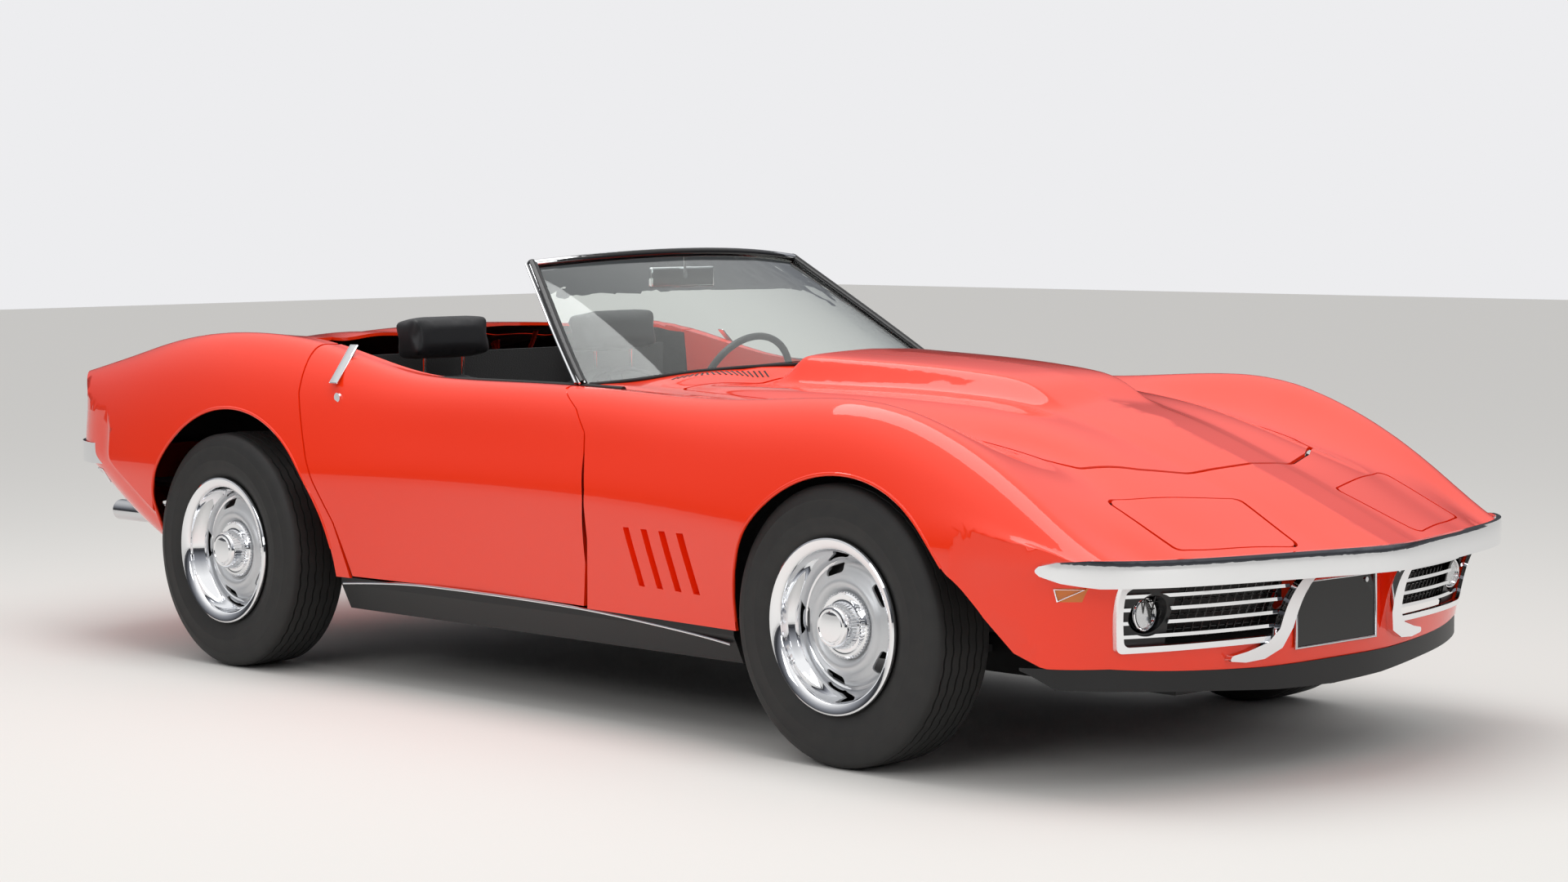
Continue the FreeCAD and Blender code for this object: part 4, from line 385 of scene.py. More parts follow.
def skin_of(rows, places, per_span):
    """Points and outward normals on a smooth face, from rows of control points in millimetres."""
    poles = np.array(rows, float)
    across = list(range(poles.shape[1]))
    spans, spans_across = len(places) - 1, len(across) - 1
    u = np.interp(np.linspace(0, spans, spans * per_span + 1), range(len(places)), places)
    v = np.linspace(0, spans_across, spans_across * per_span + 1)

    def at(uu, vv):
        return np.einsum("ui,vj,ijk->uvk", weights(places, uu), weights(across, vv), poles)
    points = at(u, v)
    lengthwise = at(np.minimum(u + 0.2, places[-1]), v) - at(np.maximum(u - 0.2, places[0]), v)
    crosswise = at(u, np.minimum(v + 0.01, across[-1])) - at(u, np.maximum(v - 0.01, 0))
    normals = np.cross(lengthwise, crosswise)
    normals /= np.linalg.norm(normals, axis=2, keepdims=True) + 1e-12
    return points * MM, normals


def woven(points, normals):
    """Triangles over a grid of points, with a normal at each corner."""
    nu, nv = points.shape[:2]
    index = np.arange(nu * nv).reshape(nu, nv)
    a, b, c, d = index[:-1, :-1], index[1:, :-1], index[1:, 1:], index[:-1, 1:]
    halves = [np.stack(corners, -1).reshape(-1, 3) for corners in ([a, b, c], [a, c, d])]
    return points.reshape(-1, 3), normals.reshape(-1, 3), np.concatenate(halves)


# How near the skin a corner takes its normal, in metres, and the least cosine between directions on one face
SKIN_REACH, SAME_FACE, SAME_FACE_INSIDE = 0.0015, 0.62, 0.6
# How deep under the skin a wall's back lies, and how far it is looked for, in metres
WALL_DEPTH, WALL_REACH = 0.006, 0.03


class Skin:
    """Smooth faces that can say the true normal near a point."""

    def __init__(self, *grids):
        points, normals, triangles, first = [], [], [], 0
        for grid_points, grid_normals in grids:
            for sign in (1, -1):
                p, n, t = woven(grid_points * (1, sign, 1), grid_normals * (1, sign, 1))
                points.append(p)
                normals.append(n)
                triangles.append(t + first)
                first += len(p)
        self.points, self.normals = np.concatenate(points), np.concatenate(normals)
        self.triangles = np.concatenate(triangles)
        self.tree = BVHTree.FromPolygons(self.points.tolist(), self.triangles.tolist())

    def normal(self, place, facet):
        """The surface's normal at the nearest point, or the facet's own where no surface is near."""
        found = self.tree.find_nearest(place, SKIN_REACH)
        if found[0] is None:
            return facet
        corners = self.triangles[found[2]]
        a, b, c = (Vector(p) for p in self.points[corners])
        va, vb, vc = (Vector(n) for n in self.normals[corners])
        smooth = barycentric_transform(found[0], a, b, c, va, vb, vc).normalized()
        if smooth.dot(facet) < 0:
            smooth = -smooth
        return smooth if smooth.dot(facet) > SAME_FACE else facet

    def faces_inwards(self, place, facet):
        """Whether a facet is on the back of the skin, a wall's thickness in and turned away from outside."""
        found = self.tree.find_nearest(place, WALL_REACH)
        if found[0] is None or found[3] < WALL_DEPTH:
            return False
        return (place - found[0]).dot(facet) > SAME_FACE_INSIDE * found[3]


def body_skin(dome=False):
    places = sorted(float(s) for s in STATIONS)
    rows = [[(s, y, z) for y, z in half_section(s, dome)] for s in places]
    return skin_of(rows, places, 6)


def face_rows(levels, half_at):
    """Rows of control points across a nose or tail face, one for each height."""
    rows = []
    for z, value in levels:
        half = half_at(value)
        row = [(x, -y, z) for x, y in reversed(half[1:])] + [(x, y, z) for x, y in half]
        x, y = half[-1]
        y += FACE_OVERRUN
        rows.append([(x, -y, z), *row, (x, y, z)])
    return rows


def face_skin_of(levels, half_at):
    return skin_of(face_rows(levels, half_at), list(range(len(levels))), 8)


def painted(name, skin, body):
    """A copy of a painted panel, shaded by the body's own surface and dark on the side that faces inwards."""
    panel = bpy.data.objects.new("painted_" + name, nodes[name].data.copy())
    bpy.context.collection.objects.link(panel)
    merged(panel)
    data = panel.data
    data.materials.clear()
    data.materials.append(paint)
    data.materials.append(satin_black_and_grille_shade)
    for polygon in data.polygons:
        polygon.use_smooth = True
    facets = [polygon.normal.copy() for polygon in data.polygons]
    loops = [None] * len(data.loops)
    for polygon, facet in zip(data.polygons, facets):
        polygon.material_index = int(skin.faces_inwards(polygon.center, facet))
        for loop in polygon.loop_indices:
            place = data.vertices[data.loops[loop].vertex_index].co
            loops[loop] = skin.normal(place, facet)
    data.normals_split_custom_set(loops)
    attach(panel, body)
    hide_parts(name)


def merged(piece):
    """Joins a copied mesh's loose triangles at their shared corners."""
    select_only(piece)
    bpy.ops.object.mode_set(mode="EDIT")
    bpy.ops.mesh.select_all(action="SELECT")
    bpy.ops.mesh.remove_doubles(threshold=0.00001)
    bpy.ops.object.mode_set(mode="OBJECT")


def select_only(piece):
    bpy.ops.object.select_all(action="DESELECT")
    piece.select_set(True)
    bpy.context.view_layer.objects.active = piece


nose_face, tail_face = face_skin_of(NOSE_LEVELS, nose_half), face_skin_of(TAIL_LEVELS, tail_half)
skin = Skin(body_skin(), nose_face, tail_face)
domed_skin = Skin(body_skin(True))
painted("nose_clip", skin, "car")
painted("rear_clip", skin, "car")
painted("bonnet", domed_skin, "bonnet")
painted("rear_lid", skin, "rear_lid")
for side in ("left", "right"):
    painted("door_" + side, skin, "door_" + side)
    painted("lamp_lid_" + side, skin, "lamps_" + side)

# Finishes of the CAD nodes
WHEELS = [f"{end}_{side}" for end in ("front", "rear") for side in ("left", "right")]
FINISHES = [
    (bright, "grille_frames grille_bars interior_mirror front_bumper rear_bumpers"),
    (satin_black_and_grille_shade, "parking_lamps chin_spoiler dashboard console steering_column rockers steering_wheel"),
    (chassis_black, "chassis_frame front_suspension rear_suspension knuckle_left knuckle_right"),
    (chassis_black, "steering_linkage"), (amber, "front_markers"), (red_lens, "tail_lamps rear_markers"),
    (vinyl, "seat_cushions seat_backs headrests"), (gloss_black_and_vent_shade, "number_plate windscreen_frame"),
    (dark_chrome, "headlamps_left headlamps_right"), (cast_iron, "engine"), (stainless, "exhausts"),
    (screen_glass, "windscreen"), (floor_carpet, "floor_tub"),
    *[(rubber, "tyre_" + wheel) for wheel in WHEELS], *[(bright, "wheel_" + wheel) for wheel in WHEELS],
]
for finish, names in FINISHES:
    for name in names.split():
        nodes[name].data.materials.clear()
        nodes[name].data.materials.append(finish)


# Modelling by hand, in millimetres. Each helper leaves its piece selected and active
def traced(points, radius=0.0, closed=False, smooth=True):
    """A line through points made a mesh: a bare chain of edges, or a round bar."""
    bpy.ops.object.select_all(action="DESELECT")
    data = bpy.data.curves.new("line", "CURVE")
    data.dimensions = "3D"
    spline = data.splines.new("NURBS" if smooth else "POLY")
    spline.points.add(len(points) - 1)
    for at, point in zip(spline.points, points):
        at.co = (*(Vector(point) * MM), 1)
    spline.use_cyclic_u, spline.use_endpoint_u = closed, not closed
    spline.order_u, spline.resolution_u = min(3, len(points)), 6
    data.bevel_depth, data.bevel_resolution, data.use_fill_caps = radius * MM, 3, True
    line = bpy.data.objects.new("line", data)
    bpy.context.collection.objects.link(line)
    select_only(line)
    bpy.ops.object.convert(target="MESH")


def edited():
    """Opens the active piece with everything in it selected."""
    bpy.ops.object.mode_set(mode="EDIT")
    bpy.ops.mesh.select_all(action="SELECT")


def settled(sharp=35):
    """Closes the piece: doubles merged, faces outwards, smooth up to an angle."""
    if bpy.context.object.mode != "EDIT":
        bpy.ops.object.mode_set(mode="EDIT")
    bpy.ops.mesh.select_all(action="SELECT")
    bpy.ops.mesh.remove_doubles(threshold=0.00002)
    bpy.ops.mesh.normals_make_consistent(inside=False)
    bpy.ops.object.mode_set(mode="OBJECT")
    bpy.ops.object.shade_smooth_by_angle(angle=math.radians(sharp))


def turned(profile, steps):
    """A profile of (radius, place along Y) spun once round the Y axis."""
    traced([(radius, place, 0) for radius, place in profile], smooth=False)
    edited()
    bpy.ops.mesh.spin(steps=steps, angle=2 * math.pi, center=(0, 0, 0), axis=(0, 1, 0))
    settled()


def repeated(count):
    """Copies of the open piece all round the Y axis."""
    bpy.ops.mesh.spin(steps=count, dupli=True, angle=2 * math.pi, center=(0, 0, 0), axis=(0, 1, 0))


def slab(x0, x1, y0, y1, z0, z1, edge=0.0, segments=3):
    """A box between two corners, its edges rounded."""
    bpy.ops.object.select_all(action="DESELECT")
    middle = Vector((x0 + x1, y0 + y1, z0 + z1)) * MM / 2
    bpy.ops.mesh.primitive_cube_add(size=1, location=middle,
                                    scale=(abs(x1 - x0) * MM, abs(y1 - y0) * MM, abs(z1 - z0) * MM))
    bpy.ops.object.transform_apply()
    if edge:
        edited()
        bpy.ops.mesh.bevel(offset=edge * MM, segments=segments, affect="EDGES")
        settled()


def rolled(radius, length, at, axis="X", edge=0.0, sides=48):
    """A round disc or bar centred on a place, with its rims rounded."""
    turn = {"X": (0, math.pi / 2, 0), "Y": (math.pi / 2, 0, 0), "Z": (0, 0, 0)}[axis]
    bpy.ops.object.select_all(action="DESELECT")
    bpy.ops.mesh.primitive_cylinder_add(vertices=sides, radius=radius * MM, depth=length * MM,
                                        location=Vector(at) * MM, rotation=turn)
    bpy.ops.object.transform_apply()
    if edge:
        edited()
        bpy.ops.mesh.select_all(action="DESELECT")
        bpy.ops.object.mode_set(mode="OBJECT")
        for face in bpy.context.object.data.polygons:
            face.select = len(face.vertices) > 4
        bpy.ops.object.mode_set(mode="EDIT")
        bpy.ops.mesh.region_to_loop()
        bpy.ops.mesh.bevel(offset=edge * MM, segments=3, affect="EDGES")
    settled()


def plated(outline, thick):
    """A flat plate with an outline, thickened along a vector."""
    traced(outline, closed=True, smooth=False)
    edited()
    bpy.ops.mesh.edge_face_add()
    bpy.ops.mesh.extrude_region_move(TRANSFORM_OT_translate={"value": Vector(thick) * MM})
    settled()


def put(place, lean=0.0):
    """Leans the active piece back and moves it to its place, in its mesh."""
    piece = bpy.context.object
    piece.location, piece.rotation_euler = Vector(place) * MM, (0, -lean, 0)
    bpy.ops.object.transform_apply()


def laid(place, out):
    """Lays the active piece on a surface: its top turns to the surface's outward direction."""
    piece = bpy.context.object
    piece.rotation_mode, piece.rotation_quaternion = "QUATERNION", out.to_track_quat("Z", "X")
    piece.location = place * MM
    bpy.ops.object.transform_apply()


def ring(middle, radius, thick, count):
    """A round bar bent to a ring that faces along the car."""
    x, y, z = middle
    traced([(x, y + radius * math.cos(a), z + radius * math.sin(a))
            for a in np.linspace(0, 2 * math.pi, count, endpoint=False)], thick, closed=True)


def mirrored():
    """Turns what is selected in the open piece into its mirror image across the car, and closes the piece."""
    bpy.ops.transform.resize(value=(1, -1, 1), center_override=(0, 0, 0))
    settled()


def across_car(points):
    """A line from one side to the middle, carried on to the other side."""
    return points + [Vector((x, -y, z)) for x, y, z in points[-2::-1]]


def both_sides():
    """The active left piece and its mirror image across the car, as one mesh."""
    edited()
    bpy.ops.mesh.duplicate()
    mirrored()


def together(makers):
    """What several makers model, joined into the last one's piece."""
    made = []
    for maker, *values in makers:
        maker(*values)
        made.append(bpy.context.object)
    for piece in made:
        piece.select_set(True)
    bpy.ops.object.join()


def named(name, finish, slot, body="car", *replaced):
    """The active piece gets its name, finish, body and the nodes it stands for. Its CAD slot is not used."""
    piece = bpy.context.object
    piece.name = piece.data.name = name
    piece.data.materials.clear()
    piece.data.materials.append(finish)
    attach(piece, body)
    if replaced:
        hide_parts(*replaced)
    return piece


def paired(name, finish, slot):
    """The active left piece and its mirror image are named as one piece of the car."""
    both_sides()
    named(name, finish, slot)


def cut_by(piece, cutter):
    """Cuts one mesh from another and removes the cutter."""
    select_only(piece)
    difference = piece.modifiers.new("cut", "BOOLEAN")
    difference.object, difference.solver = cutter, "EXACT"
    bpy.ops.object.modifier_apply(modifier="cut")
    bpy.data.objects.remove(cutter)
    select_only(piece)
    settled()


# Wheels: modelled once about the Y axis with the outer face towards +Y, then copied to the four axles
TRIM_RING = [(209, 94), (210.5, 99), (209, 103), (205, 105), (199, 104), (190, 100.5), (185, 97.5),
             (182, 94), (180.5, 88), (177, 78), (170, 66), (163, 56), (159, 48), (157, 40), (155, 33),
             (151, 30), (148, 29), (148, 26), (154, 26), (159, 32), (163, 44), (169, 56), (176, 66),
             (182, 77), (185, 88), (191, 95), (203, 97)]
RIM = [(188, 74), (190.2, 78), (190.2, 90), (206, 93), (206.5, 88), (193, 82), (190.4, 70), (174, 44),
       (170, -40), (186, -72), (190.4, -78), (194, -88), (207, -96), (207, -101), (203, -101.5), (189, -90),
       (184, -74), (164, -42), (150, 26), (166, 46)]
DISC = [(0, 46), (80, 46), (84, 49), (89, 55), (95, 60), (102, 61.5), (109, 60), (115, 55), (119, 51.5),
        (130, 48), (140, 43), (147, 36), (149, 28), (145, 26), (138, 38), (128, 43), (116, 46), (108, 54),
        (102, 56), (95, 54), (90, 49), (85, 42), (0, 42)]
CAP = [(0, 104.5), (20, 104), (35, 102.5), (37, 100.5), (40, 100.5), (42, 102), (46, 101), (49, 97),
       (50.5, 92), (53, 74), (56, 62), (62, 60), (66, 61), (74, 61), (77.5, 58), (78, 50), (74, 46.5),
       (0, 46.5)]
HUB = [(0, 41.5), (52, 41.5), (54, 38), (54, -22), (50, -24), (0, -24)]
SHAFT = [(0, -24.5), (19, -24.5), (19, -592), (0, -592)]


def ribs(count, radius, places, high, wide, lean):
    """Small round-edged ribs along the axis, all round a drum."""
    slab(radius - high, radius + high, *places, -wide / 2, wide / 2, wide * 0.3, 1)
    edited()
    bpy.ops.transform.rotate(value=lean, orient_axis="Z", center_override=(radius * MM, places[0] * MM, 0))
    repeated(count)
    settled()


def wheel_cap():
    together([(turned, CAP, 72), (ribs, 40, 54.2, (62, 92), 3.0, 4.2, -0.18),
              (ribs, 56, 77.5, (48, 58), 2.6, 4.6, 0.0)])


def wheel_disc():
    """The pressed disc with its five long slots."""
    turned(DISC, 120)
    disc = bpy.context.object
    slab(123, 146, 0, 90, -30, 30, 8)
    edited()
    repeated(5)
    settled()
    cut_by(disc, bpy.context.object)


BEAD, TREAD, SHOULDER = [(191, 78), (200, 85), (209, 89), (218, 94)], 338, 80
SIDE = [(232, 100), (246, 102.6), (258, 103.6), (260, 104), (262, 103.6), (282, 102.4), (298, 100.4),
        (300, 100.8), (302, 100), (314, 97), (324, 92), (331, 86), (335, SHOULDER)]
GROOVES, HALF_GROOVE, GROOVE_DEPTH, ZIGZAG = (62, 38, 13, -13, -38, -62), 2.6, 7, 2.6
TREAD_HALF, TREAD_FOOT = 70, 320


def crown(place):
    return TREAD - 3 * (place / SHOULDER) ** 2


def tyre_ring(steps=168):
    """A tyre with sidewall rings and zig-zag grooves between its tread ribs."""
    tread = []
    for at in GROOVES:
        for share, depth in ((1, 0), (0.7, GROOVE_DEPTH), (-0.7, GROOVE_DEPTH), (-1, 0)):
            shift = share * HALF_GROOVE
            tread.append((crown(at + shift) - depth, at + shift))
    far = [(r, -a) for r, a in reversed(BEAD + SIDE)]
    profile = BEAD + SIDE + tread + far
    turned(profile + [profile[0]], steps)
    step = 2 * math.pi / steps
    edited()
    bpy.ops.mesh.select_all(action="DESELECT")
    mesh = bmesh.from_edit_mesh(bpy.context.object.data)
    for corner in mesh.verts:
        place = round(math.atan2(corner.co.z, corner.co.x) / step)
        far_out = math.hypot(corner.co.x, corner.co.z) > TREAD_FOOT * MM
        corner.select_set(far_out and abs(corner.co.y) < TREAD_HALF * MM and place // 2 % 2 == 0)
    bmesh.update_edit_mesh(bpy.context.object.data)
    bpy.ops.transform.translate(value=(0, ZIGZAG * MM, 0))
    settled(30)


WHEEL_PARTS = [("tyre", tyre_ring, (), rubber),
               ("trim_ring", turned, (TRIM_RING + TRIM_RING[:1], 120), bright),
               ("rim", turned, (RIM + RIM[:1], 96), satin_black_and_grille_shade), ("disc", wheel_disc, (), wheel_silver),
               ("cap", wheel_cap, (), bright), ("hub", turned, (HUB, 48), chassis_black),
               ("shaft", turned, (SHAFT, 24), chassis_black)]
for part, maker, values, finish in WHEEL_PARTS:
    slot = "tyre_rubber" if part == "tyre" else "wheel_rim_black"
    maker(*values)
    master = bpy.context.object
    for end in ("front", "rear"):
        for side, turn in (("left", 0), ("right", math.pi)):
            if part == "shaft" and end == "front":
                continue
            lo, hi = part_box(f"tyre_{end}_{side}")
            axle = (Vector(lo) + Vector(hi)) / 2
            select_only(master)
            bpy.ops.object.duplicate()
            edited()
            bpy.ops.transform.rotate(value=turn, orient_axis="Z", center_override=(0, 0, 0))
            bpy.ops.transform.translate(value=axle)
            bpy.ops.object.mode_set(mode="OBJECT")
            stands_for = {"tyre": [f"tyre_{end}_{side}"], "rim": [f"wheel_{end}_{side}"]}.get(part, [])
            named(f"{part}_{end}_{side}_looks", finish, slot, f"{end}_{side}", *stands_for)
    bpy.data.objects.remove(master)


# Seats: stuffed black vinyl, swollen by a short cloth run, with fluted inserts sewn on afterwards
SEAT_MIDDLE, BACK_LEAN, CUSHION_LEAN, REST_LEAN = 325, math.radians(21), math.radians(9), math.radians(8)
BACK_FOOT = (-604, SEAT_MIDDLE, 318)
# How far apart the flutes are sewn, and how wide each one is
FLUTE_PITCH, FLUTE_WIDTH = 50, 47.5
STUFFING_PRESSURE, CLOTH_FRAMES = 4, 20


def corner_places(piece):
    return np.array([corner.co[:] for corner in piece.data.vertices])


def puffed(cap, voxel=9):
    """Swells the active closed form like stuffed vinyl. No point moves further than the cap."""
    piece = bpy.context.object
    piece.data.remesh_voxel_size = voxel * MM
    bpy.ops.object.voxel_remesh()
    start = corner_places(piece)
    cloth = piece.modifiers.new("stuffing", "CLOTH")
    cloth.settings.use_pressure, cloth.settings.uniform_pressure_force = True, STUFFING_PRESSURE
    cloth.settings.effector_weights.gravity = 0
    for frame_number in range(1, CLOTH_FRAMES + 1):
        bpy.context.scene.frame_set(frame_number)
    select_only(piece)
    bpy.ops.object.modifier_apply(modifier="stuffing")
    bpy.context.scene.frame_set(1)
    move = corner_places(piece) - start
    far = np.linalg.norm(move, axis=1, keepdims=True)
    held = start + move * np.minimum(1, cap * MM / np.maximum(far, 1e-9))
    piece.data.vertices.foreach_set("co", held.ravel())
    edited()
    bpy.ops.mesh.vertices_smooth(factor=0.5, repeat=2)
    bpy.ops.mesh.subdivide(number_cuts=1, smoothness=0.6)
    settled(80)


def seat_back():
    half = [(200, 0), (206, 150), (208, 330), (200, 440), (182, 505), (140, 552), (70, 570)]
    plated([(-8, y, z) for y, z in half] + [(-8, -y, z) for y, z in reversed(half)], (-92, 0, 0))
    puffed(14)
    put(BACK_FOOT, BACK_LEAN)


def flute(middle, width, top, low, front):
    """One stuffed channel of the insert, domed across and rounded at both ends."""
    slab(front - 12, front + 5, middle - width / 2, middle + width / 2, low, top, 4, 2)
    edited()
    bpy.ops.mesh.subdivide(number_cuts=2, smoothness=0.0)
    bpy.ops.transform.resize(value=(1.0, 0.985, 1.0), center_override=(0, middle * MM, 0))
    settled(60)


def back_insert():
    tops = (470, 512, 526, 526, 512, 470)
    together([(flute, (i - 2.5) * FLUTE_PITCH, FLUTE_WIDTH, top, 40, 9) for i, top in enumerate(tops)])
    put(BACK_FOOT, BACK_LEAN)


def back_piping():
    edge = [(-157, 30), (-160, 300), (-156, 440), (-138, 498), (-95, 530), (0, 545)]
    line = edge + [(-y, z) for y, z in reversed(edge[:-1])]
    traced([(12, y, z) for y, z in line], 4.5)
    settled(60)
    put(BACK_FOOT, BACK_LEAN)


def seat_cushion():
    side = [(-100, 232), (-92, 320), (-112, 372), (-170, 386), (-400, 350), (-575, 322), (-582, 232)]
    plated([(x, SEAT_MIDDLE - 196, z) for x, z in side], (0, 392, 0))
    puffed(12)


def cushion_insert():
    together([(flute, (i - 2.5) * FLUTE_PITCH, FLUTE_WIDTH, 430, 30, 5) for i in range(6)])
    put((0, 0, 0), CUSHION_LEAN - math.pi / 2)
    put((-560, SEAT_MIDDLE, 333))


def headrest():
    slab(-50, 50, -136, 136, 0, 108, 16, 4)
    puffed(5, 7)
    put((-815, SEAT_MIDDLE, 890), REST_LEAN)


def rest_posts():
    together([(rolled, 6, 130, (-822, SEAT_MIDDLE + y, 860), "Z") for y in (-70, 70)])
    settled()


for name, maker, cushion, stands_for in (
        ("seat_back_shells", seat_back, 0.8, ["seat_backs"]), ("seat_back_flutes", back_insert, 0.7, []),
        ("seat_cushion_pads", seat_cushion, 0.8, ["seat_cushions"]),
        ("seat_cushion_flutes", cushion_insert, 0.7, []),
        ("head_restraints", headrest, 0.9, ["headrests"])):
    maker()
    both_sides()
    bpy.ops.object.shade_smooth()
    named(name, vinyl, "black_vinyl", "car", *stands_for)
back_piping()
paired("seat_back_piping", vinyl, "black_vinyl")
rest_posts()
paired("head_restraint_posts", bright, "bright_metal")


# Steering wheel, modelled flat about its own axis and leaned with the column
WHEEL_PLACE, CAP_PLACE, COLUMN_LEAN = (-315, 395, 772), (-330, 395, 777), math.radians(20)


def wheel_rim():
    bpy.ops.object.select_all(action="DESELECT")
    bpy.ops.mesh.primitive_torus_add(major_radius=175.5 * MM, minor_radius=10.5 * MM, major_segments=96,
                                     minor_segments=20, rotation=(0, math.pi / 2, 0))
    bpy.ops.object.transform_apply()
    settled(60)


def wheel_spokes():
    together([(slab, 0, 4, 30, 170, -11, 11, 1.5), (slab, 0, 4, -170, -30, -11, 11, 1.5),
              (slab, 0, 4, -11, 11, -170, -30, 1.5), (rolled, 46, 8, (4, 0, 0), "X", 2)])


for name, maker, finish, stands_for in (("steering_rim", wheel_rim, satin_black_and_grille_shade, ["steering_wheel"]),
                                        ("steering_spokes", wheel_spokes, stainless, [])):
    maker()
    put(WHEEL_PLACE, -COLUMN_LEAN)
    named(name, finish, "dash_black", "steering_wheel", *stands_for)
rolled(40, 26, (0, 0, 0), "X", 8)
put(CAP_PLACE, -COLUMN_LEAN)
named("horn_cap", gloss_black_and_vent_shade, "dash_black", "steering_wheel")


# Places on the painted skin
def on_side(x, z):
    """The left body side's point at a place along the car and a height, and its outward normal."""
    hit = skin.tree.ray_cast(Vector((x, 1500, z)) * MM, Vector((0, -1, 0)))
    return hit[0] / MM, skin.normal(hit[0], Vector((0, 1, 0)))


face_skin = Skin(nose_face)


def on_nose(y, z):
    hit = face_skin.tree.ray_cast(Vector((3000, y, z)) * MM, Vector((-1, 0, 0)))
    return hit[0] / MM, Vector((1, 0, 0))


def on_top(x, y):
    hit = domed_skin.tree.ray_cast(Vector((x, y, 2000)) * MM, Vector((0, 0, -1)))
    return hit[0] / MM, domed_skin.normal(hit[0], Vector((0, 0, 1)))


def lifted(pair, height):
    place, out = pair
    return place + out * height


# Rolled wheel-arch lips in body colour
def arc(cx, cz, radius, start, end, count=28):
    turns = [math.radians(start + (end - start) * i / (count - 1)) for i in range(count)]
    return [(cx + radius * math.cos(a), cz + radius * math.sin(a)) for a in turns]


FRONT_ARCH, REAR_ARCH = arc(1335, 300, 400, 178, 31), arc(-1150, 335, 416, 182, -2)
# A ray that comes further in than this, in metres, has missed the body's side
BODY_SIDE = 0.6


def panel_tree(name):
    mesh = nodes[name].data
    corners = [corner.co for corner in mesh.vertices]
    return BVHTree.FromPolygons(corners, [tuple(face.vertices) for face in mesh.polygons])


def on_panel(tree, x, z):
    """The left side's point on one packed panel, or nothing where a ray misses it."""
    place, out, _, _ = tree.ray_cast(Vector((x, 1500, z)) * MM, Vector((0, -1, 0)))
    return (place / MM, out) if place and place.y > BODY_SIDE else None


def along_panel(name, points, height):
    """Points of the left side that meet a packed panel, lifted off it."""
    tree = panel_tree(name)
    hits = [on_panel(tree, x, z) for x, z in points]
    return [lifted(hit, height) for hit in hits if hit]


def arch_lip(name, arch):
    traced(along_panel(name, arch, -2.5), 5)


together([(arch_lip, "nose_clip", FRONT_ARCH), (arch_lip, "rear_clip", REAR_ARCH)])
paired("wheel_arch_lips", paint, "body_paint")


# Front end: egg-crate behind the bars, a black sheet of painted shade behind the egg-crate, lamps, plate frame
# and marker bezels.
# The egg-crate and the black sheet of painted shade behind it are this far from the nose's face
CRATE_DEPTH, SHADE_SHEET_DEPTH = -34, -58


def fin_across(z):
    traced([lifted(on_nose(y, z), CRATE_DEPTH) for y in range(215, 660, 30)], 1.6)


def fin_upright(y):
    traced([lifted(on_nose(y, z), CRATE_DEPTH) for z in (345, 470)], 2.2, smooth=False)


# A black sheet behind the egg-crate: painted shade that stands in for the dark space behind the grille
def crate_shade_sheet():
    corners = ((210, 338), (430, 338), (655, 338), (655, 474), (430, 474), (210, 474))
    plated([lifted(on_nose(y, z), SHADE_SHEET_DEPTH) for y, z in corners], (-3, 0, 0))


together([(fin_across, z) for z in range(350, 474, 17)] + [(fin_upright, y) for y in range(225, 655, 24)])
paired("grille_egg_crate", gloss_black_and_vent_shade, "black_plastic")
crate_shade_sheet()
paired("grille_shade_sheet", satin_black_and_grille_shade, "black_plastic")

LAMP_Y, LAMP_Z, LAMP_FACE = 582, 408, 2026
rolled(34, 5, (LAMP_FACE + 5, LAMP_Y, LAMP_Z), "X", 2)
paired("parking_reflectors", stainless, "bright_metal")
rolled(33, 9, (LAMP_FACE + 13, LAMP_Y, LAMP_Z), "X", 4)
paired("parking_lenses", lamp_glass, "clear_lens")
ring((LAMP_FACE + 14, LAMP_Y, LAMP_Z), 36, 3, 32)
settled(60)
paired("parking_bezels", bright, "bright_metal")

PLATE_X, PLATE_LOW, PLATE_HIGH, PLATE_HALF = 2131, 298, 450, 152
PLATE_CORNERS = [(-PLATE_HALF, PLATE_LOW), (PLATE_HALF, PLATE_LOW), (PLATE_HALF, PLATE_HIGH),
                 (-PLATE_HALF, PLATE_HIGH)]
traced([(PLATE_X + 1, y, z) for y, z in PLATE_CORNERS], 4.5, closed=True, smooth=False)
settled(60)
named("plate_frame", stainless, "bright_metal")
together([(rolled, 6, 4, (PLATE_X + 2, y, PLATE_HIGH - 14), "X", 1.5) for y in (-115, 115)])
settled()
named("plate_screws", stainless, "bright_metal")


def bezel(name, x0, x1, z0, z1):
    middle = (x0 + x1) / 2
    points = [(x0, z0), (middle, z0), (x1, z0), (x1, z1), (middle, z1), (x0, z1)]
    traced(along_panel(name, points, 1), 3.5, closed=True, smooth=False)
    settled(60)


together([(bezel, "front_markers", 1948, 2054, 446, 474), (bezel, "rear_markers", -1966, -1900, 490, 528)])
paired("marker_bezels", bright, "bright_metal")


# Windscreen: bright beads on the black pillars, a polished header and the seal at the foot of the glass
PILLAR_LINE = [(205, 668, 862), (70, 615, 960), (-70, 553, 1064), (-204, 494, 1163)]
HEADER_LINE = [(-208, 492), (-160, 350), (-118, 180), (-104, 0)]
HEADER_TOP, HEADER_DROP = 1193, 0.000112
GLASS_FOOT = [(212, 655), (290, 580), (352, 455), (405, 304), (436, 152), (446, 0)]


def pillar_bead(outwards, forwards):
    traced([(x + forwards, y + outwards, z) for x, y, z in PILLAR_LINE], 3.2)


